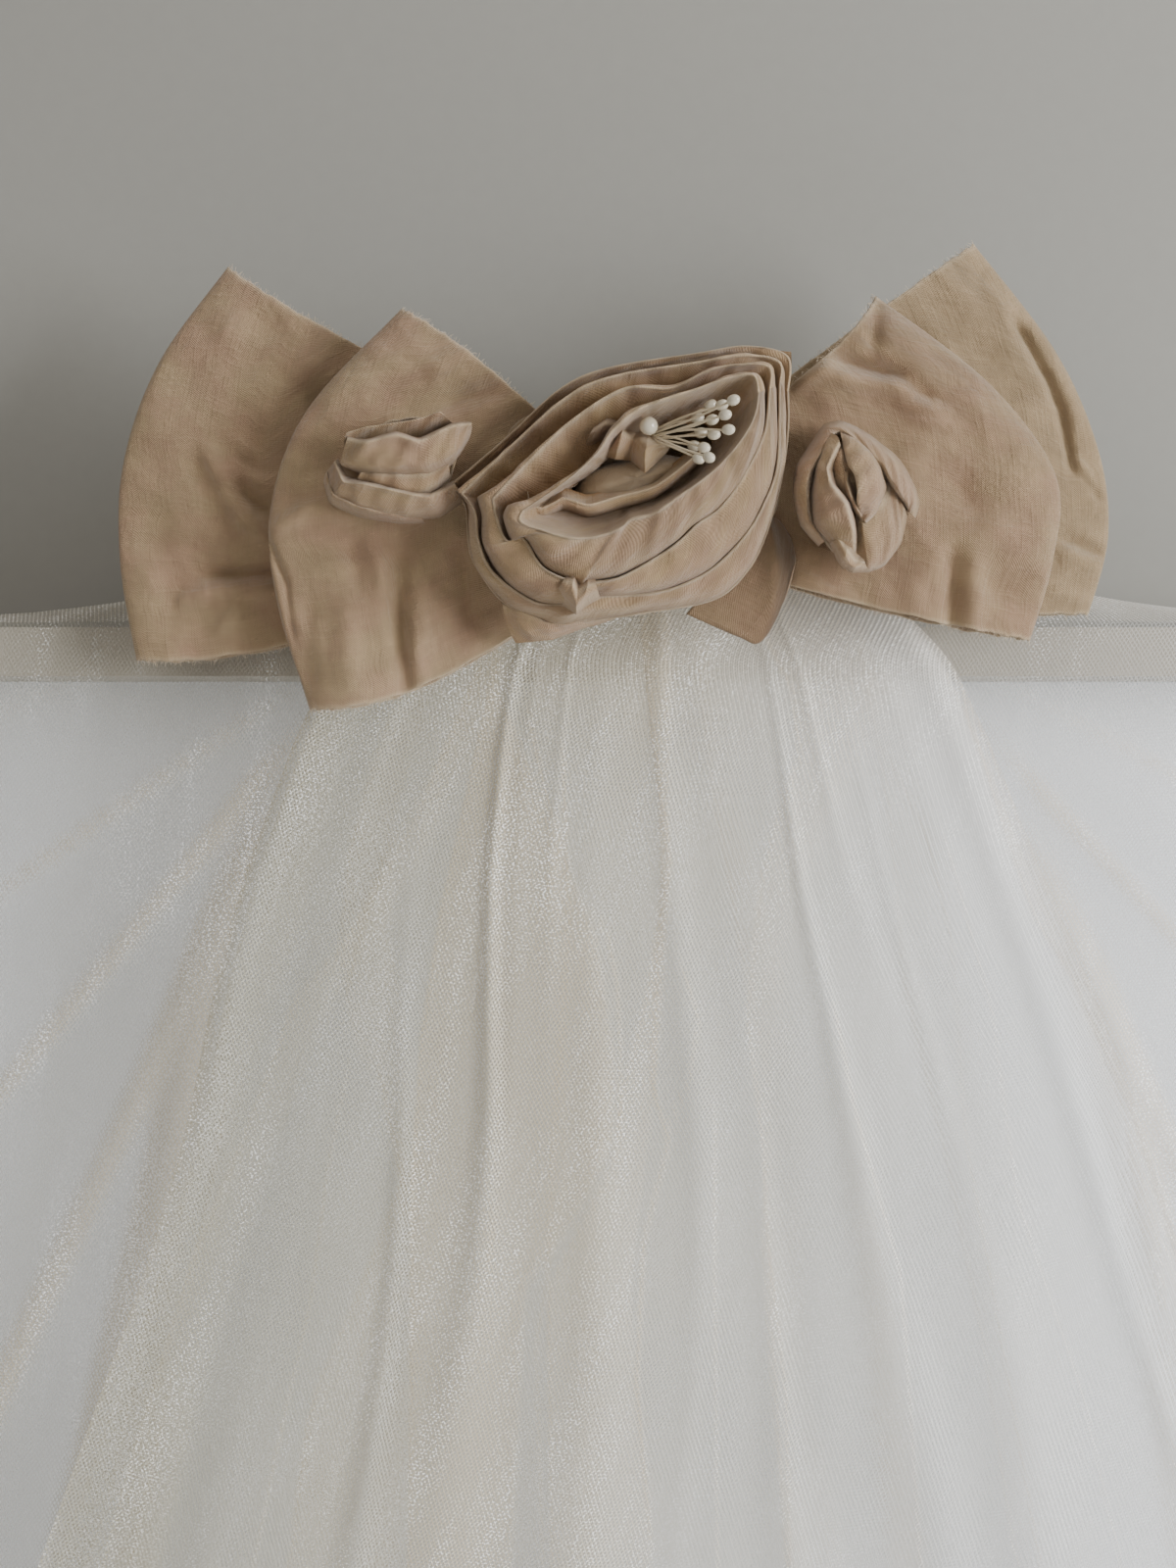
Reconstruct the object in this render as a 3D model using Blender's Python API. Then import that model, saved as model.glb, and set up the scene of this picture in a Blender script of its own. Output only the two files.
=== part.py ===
"""Bridal veil with a bow headpiece: four raw-silk bow loops, a rolled rose with stamens, two rosebuds,
a comb, and three layers of gathered tulle, held by a plain wall rail.

Sizes are in millimetres here and become metres in solid(). X runs to the right, Y away from the
viewer and Z up, from the centre of the rail's back face. The front view is laid out on the plane of
the rail's front face, measured from the middle of its top edge, as it lines up from EYE, and place()
carries a point of that layout along its line of sight to its own depth.
"""

import math

import bmesh
import bpy
import numpy as np

MM = 0.001

# Rail
RAIL_LENGTH = 520.0
RAIL_DEPTH = 40.0
RAIL_HEIGHT = 15.0
RAIL_TOP = RAIL_HEIGHT / 2
RAIL_FRONT = -RAIL_DEPTH

# Where the front view's layout is seen from, measured like the layout: X, distance, Z
EYE_X = -12.0
EYE_AWAY = 750.0
EYE_Z = -48.0

# Cloth
SILK_WALL = 1.2
TULLE_WALL = 1.3
SEAM_GAP = 0.3

# Veil: drops below the rail's top edge, with the left and right edges of the gathered layers there
VEIL_DROP = 600.0
VEIL_EDGES = (
    # drop, left, right
    (-21, -52, 62),
    (-6, -72, 84),
    (10, -90, 99),
    (36, -102, 111),
    (78, -117, 127),
    (117, -127, 143),
    (160, -135, 158),
    (204, -147, 171),
    (290, -177, 196),
    (420, -224, 237),
    (600, -290, 300),
)
GATHER_DROPS = (-21, -4, 14, 42, 95, 170, 270, 400)

# Tulle layers, back to front
LAYERS = {
    # folds, length share of the drop, fold depth at the gather and at the hem, width share
    "veil_under": dict(folds=15, length=0.97, top_fold=1.0, hem_fold=7.0, width=0.97, turn=0.4),
    "veil_upper": dict(folds=20, length=1.0, top_fold=1.1, hem_fold=9.0, width=1.0, turn=2.1),
}
FOLD_REACH = 1.75
SHEER_HALF = 230.0
SHEER_HEM_HALF = 318.0
SHEER_FOLDS = 10
SHEER_TOP_FOLD = 0.3
SHEER_HEM_FOLD = 4.5
SHEER_DROPS = (8, 45, 120, 230, 390, 585)
SHEER_RISE = (90, 90, 86, 66, 36, 20, 11, 5)
SHEER_BACK_MIDDLE = 17.0
SHEER_BACK_SIDE = 30.0

# Bow loops. Each section runs from the pinch by the middle to the outer fold
BACK_LEFT = (
    # outer x, outer z, middle x, middle z, pinch x, pinch z
    (-150, -10, -97, -4, -10.8, 24),
    (-155, 20, -98, 17, -10.8, 31),
    (-154, 50, -95, 42, -10.8, 38),
    (-143, 81, -89, 65, -10.8, 45),
    (-122, 110, -81, 85, -10.8, 52),
)
FRONT_LEFT = (
    (-97, -25, -60, -17, -11.5, 14),
    (-107, 8, -62, 8, -11.5, 23),
    (-109, 36, -62, 34, -11.5, 32),
    (-98, 66, -57, 60, -11.5, 41),
    (-69, 97, -43, 79, -11.5, 50),
)
FRONT_RIGHT = (
    (123, -4, 73, 6, 17.5, 22),
    (130, 20, 75, 26, 17.5, 29),
    (131, 46, 75, 46, 17.5, 36),
    (111, 74, 68, 66, 17.5, 43),
    (76, 101, 57, 79, 17.5, 50),
)
BACK_RIGHT = (
    (141, 4, 86, 8, 16.8, 24),
    (147, 28, 88, 28, 16.8, 31),
    (144, 54, 88, 49, 16.8, 38),
    (131, 84, 82, 72, 16.8, 45),
    (106, 117, 71, 92, 16.8, 52),
)
LOOPS = {
    # depth at the pinch and the outer fold, swell of the front and back walls, pleats
    "bow_back_left": dict(table=BACK_LEFT, pinch=-57.0, fold=-58.5, front=3.5, back=3.6, pleats=3.0),
    "bow_back_right": dict(table=BACK_RIGHT, pinch=-57.0, fold=-58.5, front=3.5, back=3.6, pleats=2.5),
    "bow_front_left": dict(table=FRONT_LEFT, pinch=-68.0, fold=-76.0, front=5.5, back=3.6, pleats=3.5),
    "bow_front_right": dict(table=FRONT_RIGHT, pinch=-68.0, fold=-76.0, front=5.5, back=3.6, pleats=3.0),
}

# Base that everything is sewn to, and the comb behind it
BASE_X = 3.0
BASE_Z = 42.0
BASE_HALF_WIDTH = 52.0
BASE_HALF_HEIGHT = 21.0
BASE_BACK = -46.0
BASE_FRONT = -52.0
KNOT_X = 2.4
KNOT_Z = 37.0
KNOT_HALF_WIDTH = 14.0
KNOT_HALF_HEIGHT = 21.0
KNOT_FRONT = -79.0
COMB_TEETH = 14
COMB_PITCH = 5.0
COMB_TOOTH = 2.2
COMB_THICK = 1.6
COMB_TOP = 44.0
COMB_BAR = 6.0
COMB_SWEEP = 12.0

# Rose: the radius of each wrap's lip every 22.5 degrees, anticlockwise from the right
ROSE_BACK = -82.0
ROSE_SEAT_FRONT = -81.1
ROSE_SEAT_HALF_WIDTH = 43.0
ROSE_SEAT_HALF_HEIGHT = 32.0
ROSE_CENTRE = (0.0, 42.0)
FOOT_SHARE = 0.92
FOOT_STEP = 2.6
ROSE_WRAPS = {
    "rose_wrap_1": dict(depth=-90.0, centre=ROSE_CENTRE, radii=(
        47, 52, 61, 44, 37, 35, 36, 40, 56, 52, 55, 46, 39, 38.5, 43, 45)),
    "rose_wrap_2": dict(depth=-98.0, centre=ROSE_CENTRE, radii=(
        44.5, 49.5, 57, 41, 34.5, 32.5, 33, 36.5, 48, 49.5, 47, 41, 34, 34, 36, 39.5)),
    "rose_wrap_3": dict(depth=-106.0, centre=ROSE_CENTRE, radii=(
        34, 46.5, 54, 35.5, 31.5, 29.5, 28.5, 32, 42, 40, 36, 32, 26.5, 23.5, 23, 26)),
    "rose_wrap_4": dict(depth=-112.0, centre=(4.5, 54.6), radii=(
        23, 33, 30, 18.5, 15.5, 14, 13.2, 13.5, 16, 31, 33, 26, 20.5, 18.5, 18, 19)),
}
ROSE_COLUMNS = 32
ROSE_ROWS = 3
CURL_ARC = (208.0, 352.0)
CURL_FOOT_CENTRE = (2.0, 48.5)
CURL_FOOT_SHARE = 0.66
CURL = dict(depth=-105.0, centre=(4.5, 54.6), radii=(
    17, 17, 17, 17, 17, 17, 17, 17, 20, 26, 25, 17.5, 14.5, 13.5, 13.5, 14.5))
HEART = dict(x=1.0, z=46.0, long=8.0, short=4.0, tilt=28.0, back=ROSE_BACK, front=-96.0)
PETAL = (
    # outer x, outer z, middle x, middle z, inner x, inner z
    (18, 4, 30, 22, 34, 40),
    (34, -3, 40, 18, 38, 38),
    (41, -4.5, 45, 15, 42, 36),
    (48, 8, 48, 20, 44, 34),
    (51.5, 20, 50, 27, 46, 33),
)
PETAL_DEPTH = -78.5

BUD_COLUMNS = 20
BUD_ROWS = 2

# Rosebuds: radii every 45 degrees, anticlockwise from the right
BUDS = {
    "bud_left": dict(back=-81.0, wraps=(
        dict(depth=-91.0, centre=(-71.0, 47.0), radii=(12.5, 22.5, 20, 20, 21, 18.5, 15, 13)),
        dict(depth=-97.0, centre=(-69.5, 52.0), radii=(9, 15, 12, 12.5, 18, 13.5, 11, 10)),
    ), heart=dict(
        x=-71.0, z=50.5, long=6.5, short=4.0, tilt=8.0, back=-80.1, front=-93.0)),
    "bud_right": dict(back=-79.5, wraps=(
        dict(depth=-90.0, centre=(69.3, 40.5), radii=(19.8, 18.3, 21.6, 18.6, 18.9, 17.7, 23.4, 19.5)),
        dict(depth=-96.0, centre=(66.9, 43.5), radii=(11, 12.3, 15.5, 12, 11, 13, 18.5, 11)),
    ), heart=dict(
        x=68.3, z=42.0, long=8.0, short=5.0, tilt=84.0, back=-78.3, front=-92.0)),
}

# Stamens: one row of heads for each depth, with x and z from the top head down
STAMEN_ROOT = (6.6, 58.5)
STAMEN_ROOT_DEPTH = -101.0
STAMEN_CELL = 1.3
STAMEN_STEM = 0.55
STAMEN_HEAD = 3.4
STAMEN_LONG = 4.4
STAMEN_ROWS = {
    -105.0: ((25.5, 68.0), (21.5, 64.0), (22.5, 59.5), (20.5, 55.5)),
    -111.0: ((29.0, 68.0), (26.0, 63.5), (26.5, 59.0), (23.5, 55.0)),
    -117.0: ((32.5, 69.5), (30.0, 65.0), (31.0, 60.5), (25.0, 52.0)),
}
PEARL = dict(x=6.6, z=61.6, y=-106.0, size=5.2)

IVORY_SILK = (0.62, 0.50, 0.40)
PALE_SILK = (0.74, 0.65, 0.54)
TULLE = (0.86, 0.85, 0.80)


def place(x, z, depth):
    """A point of the front view's layout, carried along its line of sight to this depth."""
    near = 1.0 + (depth - RAIL_FRONT) / EYE_AWAY
    real_x = EYE_X + (x - EYE_X) * near
    real_z = EYE_Z + (z - EYE_Z) * near + RAIL_TOP
    return np.array((real_x, depth, real_z))


def spline(values, share):
    """A smooth curve through evenly spaced values, read at a share from 0 to 1 of its length."""
    values = np.asarray(values, float)
    at = np.clip(share, 0.0, 1.0) * (len(values) - 1)
    i = min(int(at), len(values) - 2)
    t = at - i
    before = values[max(i - 1, 0)]
    start, end = values[i], values[i + 1]
    after = values[min(i + 2, len(values) - 1)]
    bend = 2 * before - 5 * start + 4 * end - after
    turn = 3 * (start - end) + after - before
    return start + 0.5 * t * ((end - before) + t * (bend + t * turn))


def ring_spline(values, turn):
    """The same, round a closed ring, read at a share from 0 to 1 of a turn."""
    n = len(values)
    at = (turn % 1.0) * n
    i = int(at) % n
    four = [values[(i + k) % n] for k in (-1, 0, 1, 2)]
    return float(spline(four, (1 + at - int(at)) / 3))


def material(name, colour, rough):
    """A plain matte or shiny material of its own for a piece."""
    made = bpy.data.materials.new(name)
    made.use_nodes = True
    shader = made.node_tree.nodes["Principled BSDF"]
    shader.inputs["Base Color"].default_value = (*colour, 1.0)
    shader.inputs["Roughness"].default_value = rough
    shader.inputs["Metallic"].default_value = 0.0
    return made


def solid(name, points, faces, colour, rough=0.8):
    """One named object, from points in millimetres, with its faces turned outward."""
    mesh = bpy.data.meshes.new(name)
    mesh.from_pydata([tuple(float(c) * MM for c in p) for p in points], [], faces)
    shape = bmesh.new()
    shape.from_mesh(mesh)
    bmesh.ops.recalc_face_normals(shape, faces=shape.faces)
    shape.to_mesh(mesh)
    shape.free()
    mesh.materials.append(material(name, colour, rough))
    made = bpy.data.objects.new(name, mesh)
    bpy.context.scene.collection.objects.link(made)
    return made


def grid_normals(grid, closed):
    """The unit normal at each point of a grid of rows and columns."""
    if closed:
        across = np.roll(grid, -1, axis=1) - np.roll(grid, 1, axis=1)
    else:
        across = np.gradient(grid, axis=1)
    along = np.gradient(grid, axis=0)
    normal = np.cross(across, along)
    return normal / np.linalg.norm(normal, axis=2, keepdims=True)


def wall(name, grid, away, closed, colour, rough=0.8):
    """A closed cloth wall: a grid's points moved half a wall to each side, and its rims."""
    rows, columns = grid.shape[:2]
    points = np.concatenate([(grid + away / 2).reshape(-1, 3), (grid - away / 2).reshape(-1, 3)])
    back = rows * columns

    def at(r, c):
        return r * columns + c % columns

    faces = []
    last = columns if closed else columns - 1
    for r in range(rows - 1):
        for c in range(last):
            a, b = at(r, c), at(r, c + 1)
            d, e = at(r + 1, c), at(r + 1, c + 1)
            faces += [(a, b, e), (a, e, d)]
            faces += [(a + back, e + back, b + back), (a + back, d + back, e + back)]
    for c in range(last):
        a, b = at(0, c), at(0, c + 1)
        faces += [(a, a + back, b + back), (a, b + back, b)]
        a, b = at(rows - 1, c), at(rows - 1, c + 1)
        faces += [(a, b, b + back), (a, b + back, a + back)]
    if not closed:
        for r in range(rows - 1):
            a, b = at(r, 0), at(r + 1, 0)
            faces += [(a, b, b + back), (a, b + back, a + back)]
            a, b = at(r, columns - 1), at(r + 1, columns - 1)
            faces += [(a, a + back, b + back), (a, b + back, b)]
    return solid(name, points, faces, colour, rough)


def rail():
    """The plain rail whose back face goes on the wall."""
    x, y, z = RAIL_LENGTH / 2, RAIL_DEPTH, RAIL_HEIGHT / 2
    points = [(sx * x, sy * y, sz * z) for sx in (-1, 1) for sy in (-1, 0) for sz in (-1, 1)]
    faces = [(0, 1, 3, 2), (4, 6, 7, 5), (0, 4, 5, 1), (2, 3, 7, 6), (0, 2, 6, 4), (1, 5, 7, 3)]
    solid("rail", points, faces, (0.86, 0.86, 0.86), 0.45)


def sheer_fold(down):
    """The fold depth of the sheer layer at this share of the veil's drop."""
    return SHEER_TOP_FOLD + (SHEER_HEM_FOLD - SHEER_TOP_FOLD) * down


def gather_fold(layer, down):
    """The fold depth of a gathered layer at this share of the veil's drop."""
    return layer["top_fold"] + (layer["hem_fold"] - layer["top_fold"]) * down**0.8


def uneven(share, turn):
    """Moves evenly spaced folds nearer and further from each other."""
    two_pi = 2 * math.pi
    return share + 0.022 * math.sin(two_pi * 2 * share + turn) + 0.009 * math.sin(two_pi * 5 * share)


def veil_edges(drop):
    """The left and right edges of the gathered layers at this drop, in the layout."""
    drops, left, right = np.array(VEIL_EDGES, float).T
    return np.interp(drop, drops, left), np.interp(drop, drops, right)


def sheer_layer():
    """The wide single layer, over the rail's top at the sides and up behind the bow in the middle."""
    columns = SHEER_FOLDS * 4 + 1
    half = TULLE_WALL / 2
    corner_y = RAIL_FRONT - half - SEAM_GAP * 2
    corner_z = half + SEAM_GAP * 2
    rows, aways = [], []
    for back_share in (1.0, 0.5, 0.0):
        row, away = [], []
        for k in range(columns):
            side = 2 * k / (columns - 1) - 1
            rise = math.radians(spline(SHEER_RISE, abs(side)))
            reach = SHEER_BACK_MIDDLE + (SHEER_BACK_SIDE - SHEER_BACK_MIDDLE) * abs(side)
            wave = 0.5 + 0.5 * math.sin(k * math.pi / 2 + math.pi / 4)
            out = reach * back_share + wave * SHEER_TOP_FOLD
            y = corner_y + out * math.cos(rise)
            z = corner_z + out * math.sin(rise)
            row.append((SHEER_HALF * side * (1 - 0.06 * back_share), y, z + RAIL_TOP))
            if back_share > 0:
                away.append((0, -math.sin(rise), math.cos(rise)))
            else:
                away.append((0, -1.0, math.cos(rise)))
        rows.append(row)
        aways.append(away)
    for drop in SHEER_DROPS:
        down = drop / VEIL_DROP
        row, away = [], []
        for k in range(columns):
            side = 2 * k / (columns - 1) - 1
            wave = math.sin(k * math.pi / 2 + math.pi / 4)
            y = corner_y - sheer_fold(down) * (1 + wave)
            width = SHEER_HALF + (SHEER_HEM_HALF - SHEER_HALF) * down
            row.append((width * side, y, RAIL_TOP - drop + 30 * down * side * side))
            away.append((0, -1.0, 0))
        rows.append(row)
        aways.append(away)
    wall("veil_outer", np.array(rows), np.array(aways) * TULLE_WALL, False, TULLE)


def layer_back(name, down):
    """How far forward a gathered layer starts, clear of the layers behind it."""
    step = SEAM_GAP + 1.5 * down
    y = RAIL_FRONT - TULLE_WALL - SEAM_GAP * 2 - FOLD_REACH * sheer_fold(down) - step
    if name == "veil_upper":
        y -= FOLD_REACH * gather_fold(LAYERS["veil_under"], down) + TULLE_WALL + step
    return y - TULLE_WALL / 2


def gathered_layer(name):
    """A gathered layer that fans from the gather behind the bow to the hem."""
    layer = LAYERS[name]
    columns = layer["folds"] * 4 + 1
    rows = []
    for drop in (*GATHER_DROPS, VEIL_DROP * layer["length"]):
        down = max(drop, 0.0) / VEIL_DROP
        back = layer_back(name, down)
        fold = gather_fold(layer, down)
        left, right = veil_edges(drop)
        middle, half = (left + right) / 2, (right - left) / 2 * layer["width"]
        row = []
        for k in range(columns):
            share = uneven(k / (columns - 1), layer["turn"])
            own = 0.8 + 0.2 * math.sin(1.9 * (k // 4) + layer["turn"])
            wave = own * math.sin(k * math.pi / 2 + math.pi / 4)
            side = 2 * share - 1
            x, y, z = place(middle + half * side, -drop + 26 * down * side * side, back - fold)
            row.append((x, back - fold * (1 + wave), z))
        rows.append(row)
    grid = np.array(rows)
    wall(name, grid, np.array((0, -TULLE_WALL, 0)), False, TULLE)


def loop(name):
    """A bow loop: a strip that runs out from the pinch, turns at its outer fold and comes back."""
    data = LOOPS[name]
    table = np.array(data["table"], float)
    sections, steps = 8, 16
    rows = []
    for r in range(sections + 1):
        v = r / sections
        outer_x, outer_z, mid_x, mid_z, pinch_x, pinch_z = spline(table, v)
        row = []
        for c in range(steps + 1):
            round_it = math.radians(10 + 340 * c / steps)
            a = (1 - math.cos(round_it)) / 2
            pinch, middle, outer = (1 - a) * (1 - 2 * a), 4 * a * (1 - a), a * (2 * a - 1)
            x = pinch * pinch_x + middle * mid_x + outer * outer_x
            z = pinch * pinch_z + middle * mid_z + outer * outer_z
            depth = data["pinch"] + (data["fold"] - data["pinch"]) * a
            swell = data["front"] if c * 2 <= steps else data["back"]
            pleat = 0.8 * (1 - a) ** 2 * math.sin(2 * math.pi * (data["pleats"] * v + 0.2))
            lift = -swell * math.sin(round_it) * (0.75 + 0.6 * a) + pleat
            x, y, z = place(x, z, depth)
            row.append((x, y + lift, z))
        rows.append(row)
    grid = np.array(rows)
    colour = PALE_SILK if name == "bow_back_right" else IVORY_SILK
    wall(name, grid, grid_normals(grid, False) * SILK_WALL, False, colour)


def plate(name, x, z, half_width, half_height, back, front, colour):
    """A flat oval plate that stands upright."""
    points, n = [], 28
    for depth in (back, front):
        for i in range(n):
            angle = 2 * math.pi * i / n
            across, up = half_width * math.cos(angle), half_height * math.sin(angle)
            points.append((x + across, depth, z + up + RAIL_TOP))
    faces = [tuple(range(n)), tuple(range(n, 2 * n))]
    faces += [(i, (i + 1) % n, n + (i + 1) % n, n + i) for i in range(n)]
    solid(name, points, faces, colour)


def carriers():
    """The covered base, the knot that pinches the loops, and the disc the rose is sewn to."""
    plate("base", BASE_X, BASE_Z, BASE_HALF_WIDTH, BASE_HALF_HEIGHT, BASE_BACK, BASE_FRONT, PALE_SILK)
    plate("bow_knot", KNOT_X, KNOT_Z, KNOT_HALF_WIDTH, KNOT_HALF_HEIGHT, BASE_FRONT - SEAM_GAP,
          KNOT_FRONT, IVORY_SILK)
    seat = place(0.0, 42.0, ROSE_BACK)
    plate("rose_seat", seat[0], seat[2] - RAIL_TOP, ROSE_SEAT_HALF_WIDTH, ROSE_SEAT_HALF_HEIGHT,
          KNOT_FRONT - SEAM_GAP, ROSE_SEAT_FRONT, IVORY_SILK)


def comb():
    """A plain comb behind the base, whose teeth stand on the rail's top."""
    columns = 2 * COMB_TEETH - 1
    gap = COMB_PITCH - COMB_TOOTH
    lines = [0.0]
    for c in range(columns):
        lines.append(lines[-1] + (COMB_TOOTH if c % 2 == 0 else gap))
    left = BASE_X - lines[-1] / 2
    foot = SEAM_GAP
    root = COMB_TOP - COMB_BAR
    levels = [COMB_TOP, root, root * 0.62, root * 0.3, foot]
    points = []
    for level in levels:
        swept = COMB_SWEEP * (max(root - level, 0.0) / root) ** 0.7
        y = BASE_BACK + SEAM_GAP + COMB_THICK / 2 + swept
        for line in lines:
            for half in (-0.5, 0.5):
                points.append((left + line, y + half * COMB_THICK, level + RAIL_TOP))

    def at(row, line, side):
        return (row * len(lines) + line) * 2 + side

    cells = {(0, c) for c in range(columns)}
    cells |= {(r, c) for r in range(1, len(levels) - 1) for c in range(0, columns, 2)}
    faces = []
    for r, c in cells:
        ring = [(r, c), (r, c + 1), (r + 1, c + 1), (r + 1, c)]
        for side in (0, 1):
            faces.append(tuple(at(i, j, side) for i, j in ring))
        beside = [(r - 1, c), (r, c + 1), (r + 1, c), (r, c - 1)]
        for k, cell in enumerate(beside):
            if cell not in cells:
                (i, j), (m, n) = ring[k], ring[(k + 1) % 4]
                faces.append((at(i, j, 0), at(m, n, 0), at(m, n, 1), at(i, j, 1)))
    used = sorted({i for face in faces for i in face})
    new = {old: i for i, old in enumerate(used)}
    faces = [tuple(new[i] for i in face) for face in faces]
    solid("comb", [points[i] for i in used], faces, (0.80, 0.78, 0.72), 0.35)


def cup(name, columns, rows, lip, foot, arc=(0.0, 360.0)):
    """A wrap of a rolled flower, from its foot to its lip: a closed turn or an arc of one."""
    closed = arc[1] - arc[0] >= 360
    ends = []
    for ring in (foot, lip):
        row = []
        for c in range(columns if closed else columns + 1):
            angle = arc[0] + (arc[1] - arc[0]) * c / columns
            radius = ring_spline(ring["radii"], angle / 360)
            x = ring["centre"][0] + radius * math.cos(math.radians(angle))
            z = ring["centre"][1] + radius * math.sin(math.radians(angle))
            row.append(place(x, z, ring["depth"]))
        ends.append(np.array(row))
    grid = []
    for r in range(rows + 1):
        up = r / rows
        row = ends[0] + (ends[1] - ends[0]) * up**1.5
        row[:, 1] = foot["depth"] + (lip["depth"] - foot["depth"]) * up
        grid.append(row)
    grid = np.array(grid)
    wall(name, grid, grid_normals(grid, closed) * SILK_WALL, closed, IVORY_SILK)


def feet(outermost, back, turns):
    """The foot of each turn of a flower, one inside the other, from its outermost wrap."""
    made = []
    for i in range(turns):
        radii = [radius * FOOT_SHARE - FOOT_STEP * i for radius in outermost["radii"]]
        made.append(dict(depth=back, centre=outermost["centre"], radii=radii))
    return made


def dome(name, x, z, long, short, tilt, back, front, colour, around=16, rings=3):
    """A smooth oval heart with a flat back."""
    turned = math.radians(tilt)
    points, faces = [], []
    for r in range(rings):
        lift = math.sin(math.pi / 2 * r / rings)
        size = math.cos(math.pi / 2 * r / rings)
        for i in range(around):
            angle = 2 * math.pi * i / around
            u, v = long * size * math.cos(angle), short * size * math.sin(angle)
            at_x = x + u * math.cos(turned) - v * math.sin(turned)
            at_z = z + u * math.sin(turned) + v * math.cos(turned)
            spot = place(at_x, at_z, front)
            points.append((spot[0], back + (front - back) * lift, spot[2]))
    for r in range(rings - 1):
        for i in range(around):
            j = (i + 1) % around
            low, high = r * around, (r + 1) * around
            faces.append((low + i, low + j, high + j, high + i))
    points.append(tuple(place(x, z, front)))
    top = (rings - 1) * around
    faces += [(top + i, top + (i + 1) % around, len(points) - 1) for i in range(around)]
    faces.append(tuple(range(around)))
    solid(name, points, faces, colour, 0.5)


def rose():
    """The large rolled rose: four wraps, an inner curl, its heart and one petal below."""
    nested = feet(ROSE_WRAPS["rose_wrap_1"], ROSE_BACK, len(ROSE_WRAPS))
    for (name, lip), foot in zip(ROSE_WRAPS.items(), nested):
        cup(name, ROSE_COLUMNS, ROSE_ROWS, lip, foot)
    curl_foot = [radius * CURL_FOOT_SHARE for radius in CURL["radii"]]
    foot = dict(depth=ROSE_BACK, centre=CURL_FOOT_CENTRE, radii=curl_foot)
    cup("rose_curl", ROSE_COLUMNS // 2, ROSE_ROWS - 1, CURL, foot, CURL_ARC)
    dome("rose_heart", colour=PALE_SILK, **HEART)
    rows = []
    for r in range(7):
        outer_x, outer_z, mid_x, mid_z, inner_x, inner_z = spline(PETAL, r / 6)
        row = []
        for c in range(5):
            a = c / 4
            ends = (1 - a) * (1 - 2 * a), 4 * a * (1 - a), a * (2 * a - 1)
            x = ends[0] * outer_x + ends[1] * mid_x + ends[2] * inner_x
            z = ends[0] * outer_z + ends[1] * mid_z + ends[2] * inner_z
            row.append(place(x, z, PETAL_DEPTH))
        rows.append(row)
    grid = np.array(rows)
    wall("rose_petal", grid, np.array((0, -SILK_WALL, 0)), False, IVORY_SILK)


def buds():
    """The two rosebuds, each with two wraps and a heart."""
    for name, bud in BUDS.items():
        nested = feet(bud["wraps"][0], bud["back"], len(bud["wraps"]))
        for i, (lip, foot) in enumerate(zip(bud["wraps"], nested), 1):
            cup(f"{name}_wrap_{i}", BUD_COLUMNS, BUD_ROWS, lip, foot)
        dome(f"{name}_heart", colour=PALE_SILK, around=10, rings=2, **bud["heart"])


def stamens():
    """The bunch of stamens: stems grown from a small root, each with an oval head."""
    depths = sorted(STAMEN_ROWS, reverse=True)
    count = len(STAMEN_ROWS[depths[0]])
    root = place(*STAMEN_ROOT, STAMEN_ROOT_DEPTH)
    shape = bmesh.new()
    lines = {}
    for side in (0, 1):
        for i in range(len(depths) + 1):
            for j in range(count + 1):
                y = root[1] + (len(depths) / 2 - i) * STAMEN_CELL
                z = root[2] + (count / 2 - j) * STAMEN_CELL
                lines[side, i, j] = shape.verts.new((root[0] + side * STAMEN_CELL, y, z))
    heads = []
    for i in range(len(depths)):
        for j in range(count):
            ring = [(i, j), (i + 1, j), (i + 1, j + 1), (i, j + 1)]
            shape.faces.new([lines[(0, *k)] for k in ring])
            heads.append((shape.faces.new([lines[(1, *k)] for k in ring]), depths[i], j))
    edge = [(i, 0) for i in range(len(depths))] + [(len(depths), j) for j in range(count)]
    edge += [(i, count) for i in range(len(depths), 0, -1)] + [(0, j) for j in range(count, 0, -1)]
    for k, spot in enumerate(edge):
        after = edge[(k + 1) % len(edge)]
        shape.faces.new([lines[(0, *spot)], lines[(0, *after)], lines[(1, *after)], lines[(1, *spot)]])
    bmesh.ops.recalc_face_normals(shape, faces=shape.faces)
    for face, depth, j in heads:
        head = place(*STAMEN_ROWS[depth][j], depth)
        start = np.array(face.calc_center_median())
        way = (head - start) / np.linalg.norm(head - start)
        long, wide, stem = STAMEN_LONG, STAMEN_HEAD, STAMEN_STEM
        steps = ((start + way * 2.5, stem), (head - way * long * 0.5, stem),
                 (head - way * long * 0.3, wide * 0.8), (head + way * long * 0.15, wide),
                 (head + way * long * 0.5, wide * 0.45))
        for spot, width in steps:
            made = bmesh.ops.extrude_discrete_faces(shape, faces=[face])
            face = made["faces"][0]
            corners(face, spot, way, width)
    mesh = bpy.data.meshes.new("stamens")
    for vert in shape.verts:
        vert.co *= MM
    bmesh.ops.recalc_face_normals(shape, faces=shape.faces)
    shape.to_mesh(mesh)
    shape.free()
    mesh.materials.append(material("stamens", (0.85, 0.82, 0.75), 0.3))
    bpy.context.scene.collection.objects.link(bpy.data.objects.new("stamens", mesh))


def corners(face, spot, way, width):
    """Sets a face's four corners round a spot, square to the way its stem runs."""
    up = np.cross(way, (0.0, 1.0, 0.0))
    up /= np.linalg.norm(up)
    side = np.cross(up, way)
    middle = np.array(face.calc_center_median())
    for vert in face.verts:
        off = np.array(vert.co) - middle
        u = math.copysign(width / 2, off @ up)
        v = math.copysign(width / 2, off @ side)
        vert.co = spot + up * u + side * v


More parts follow.
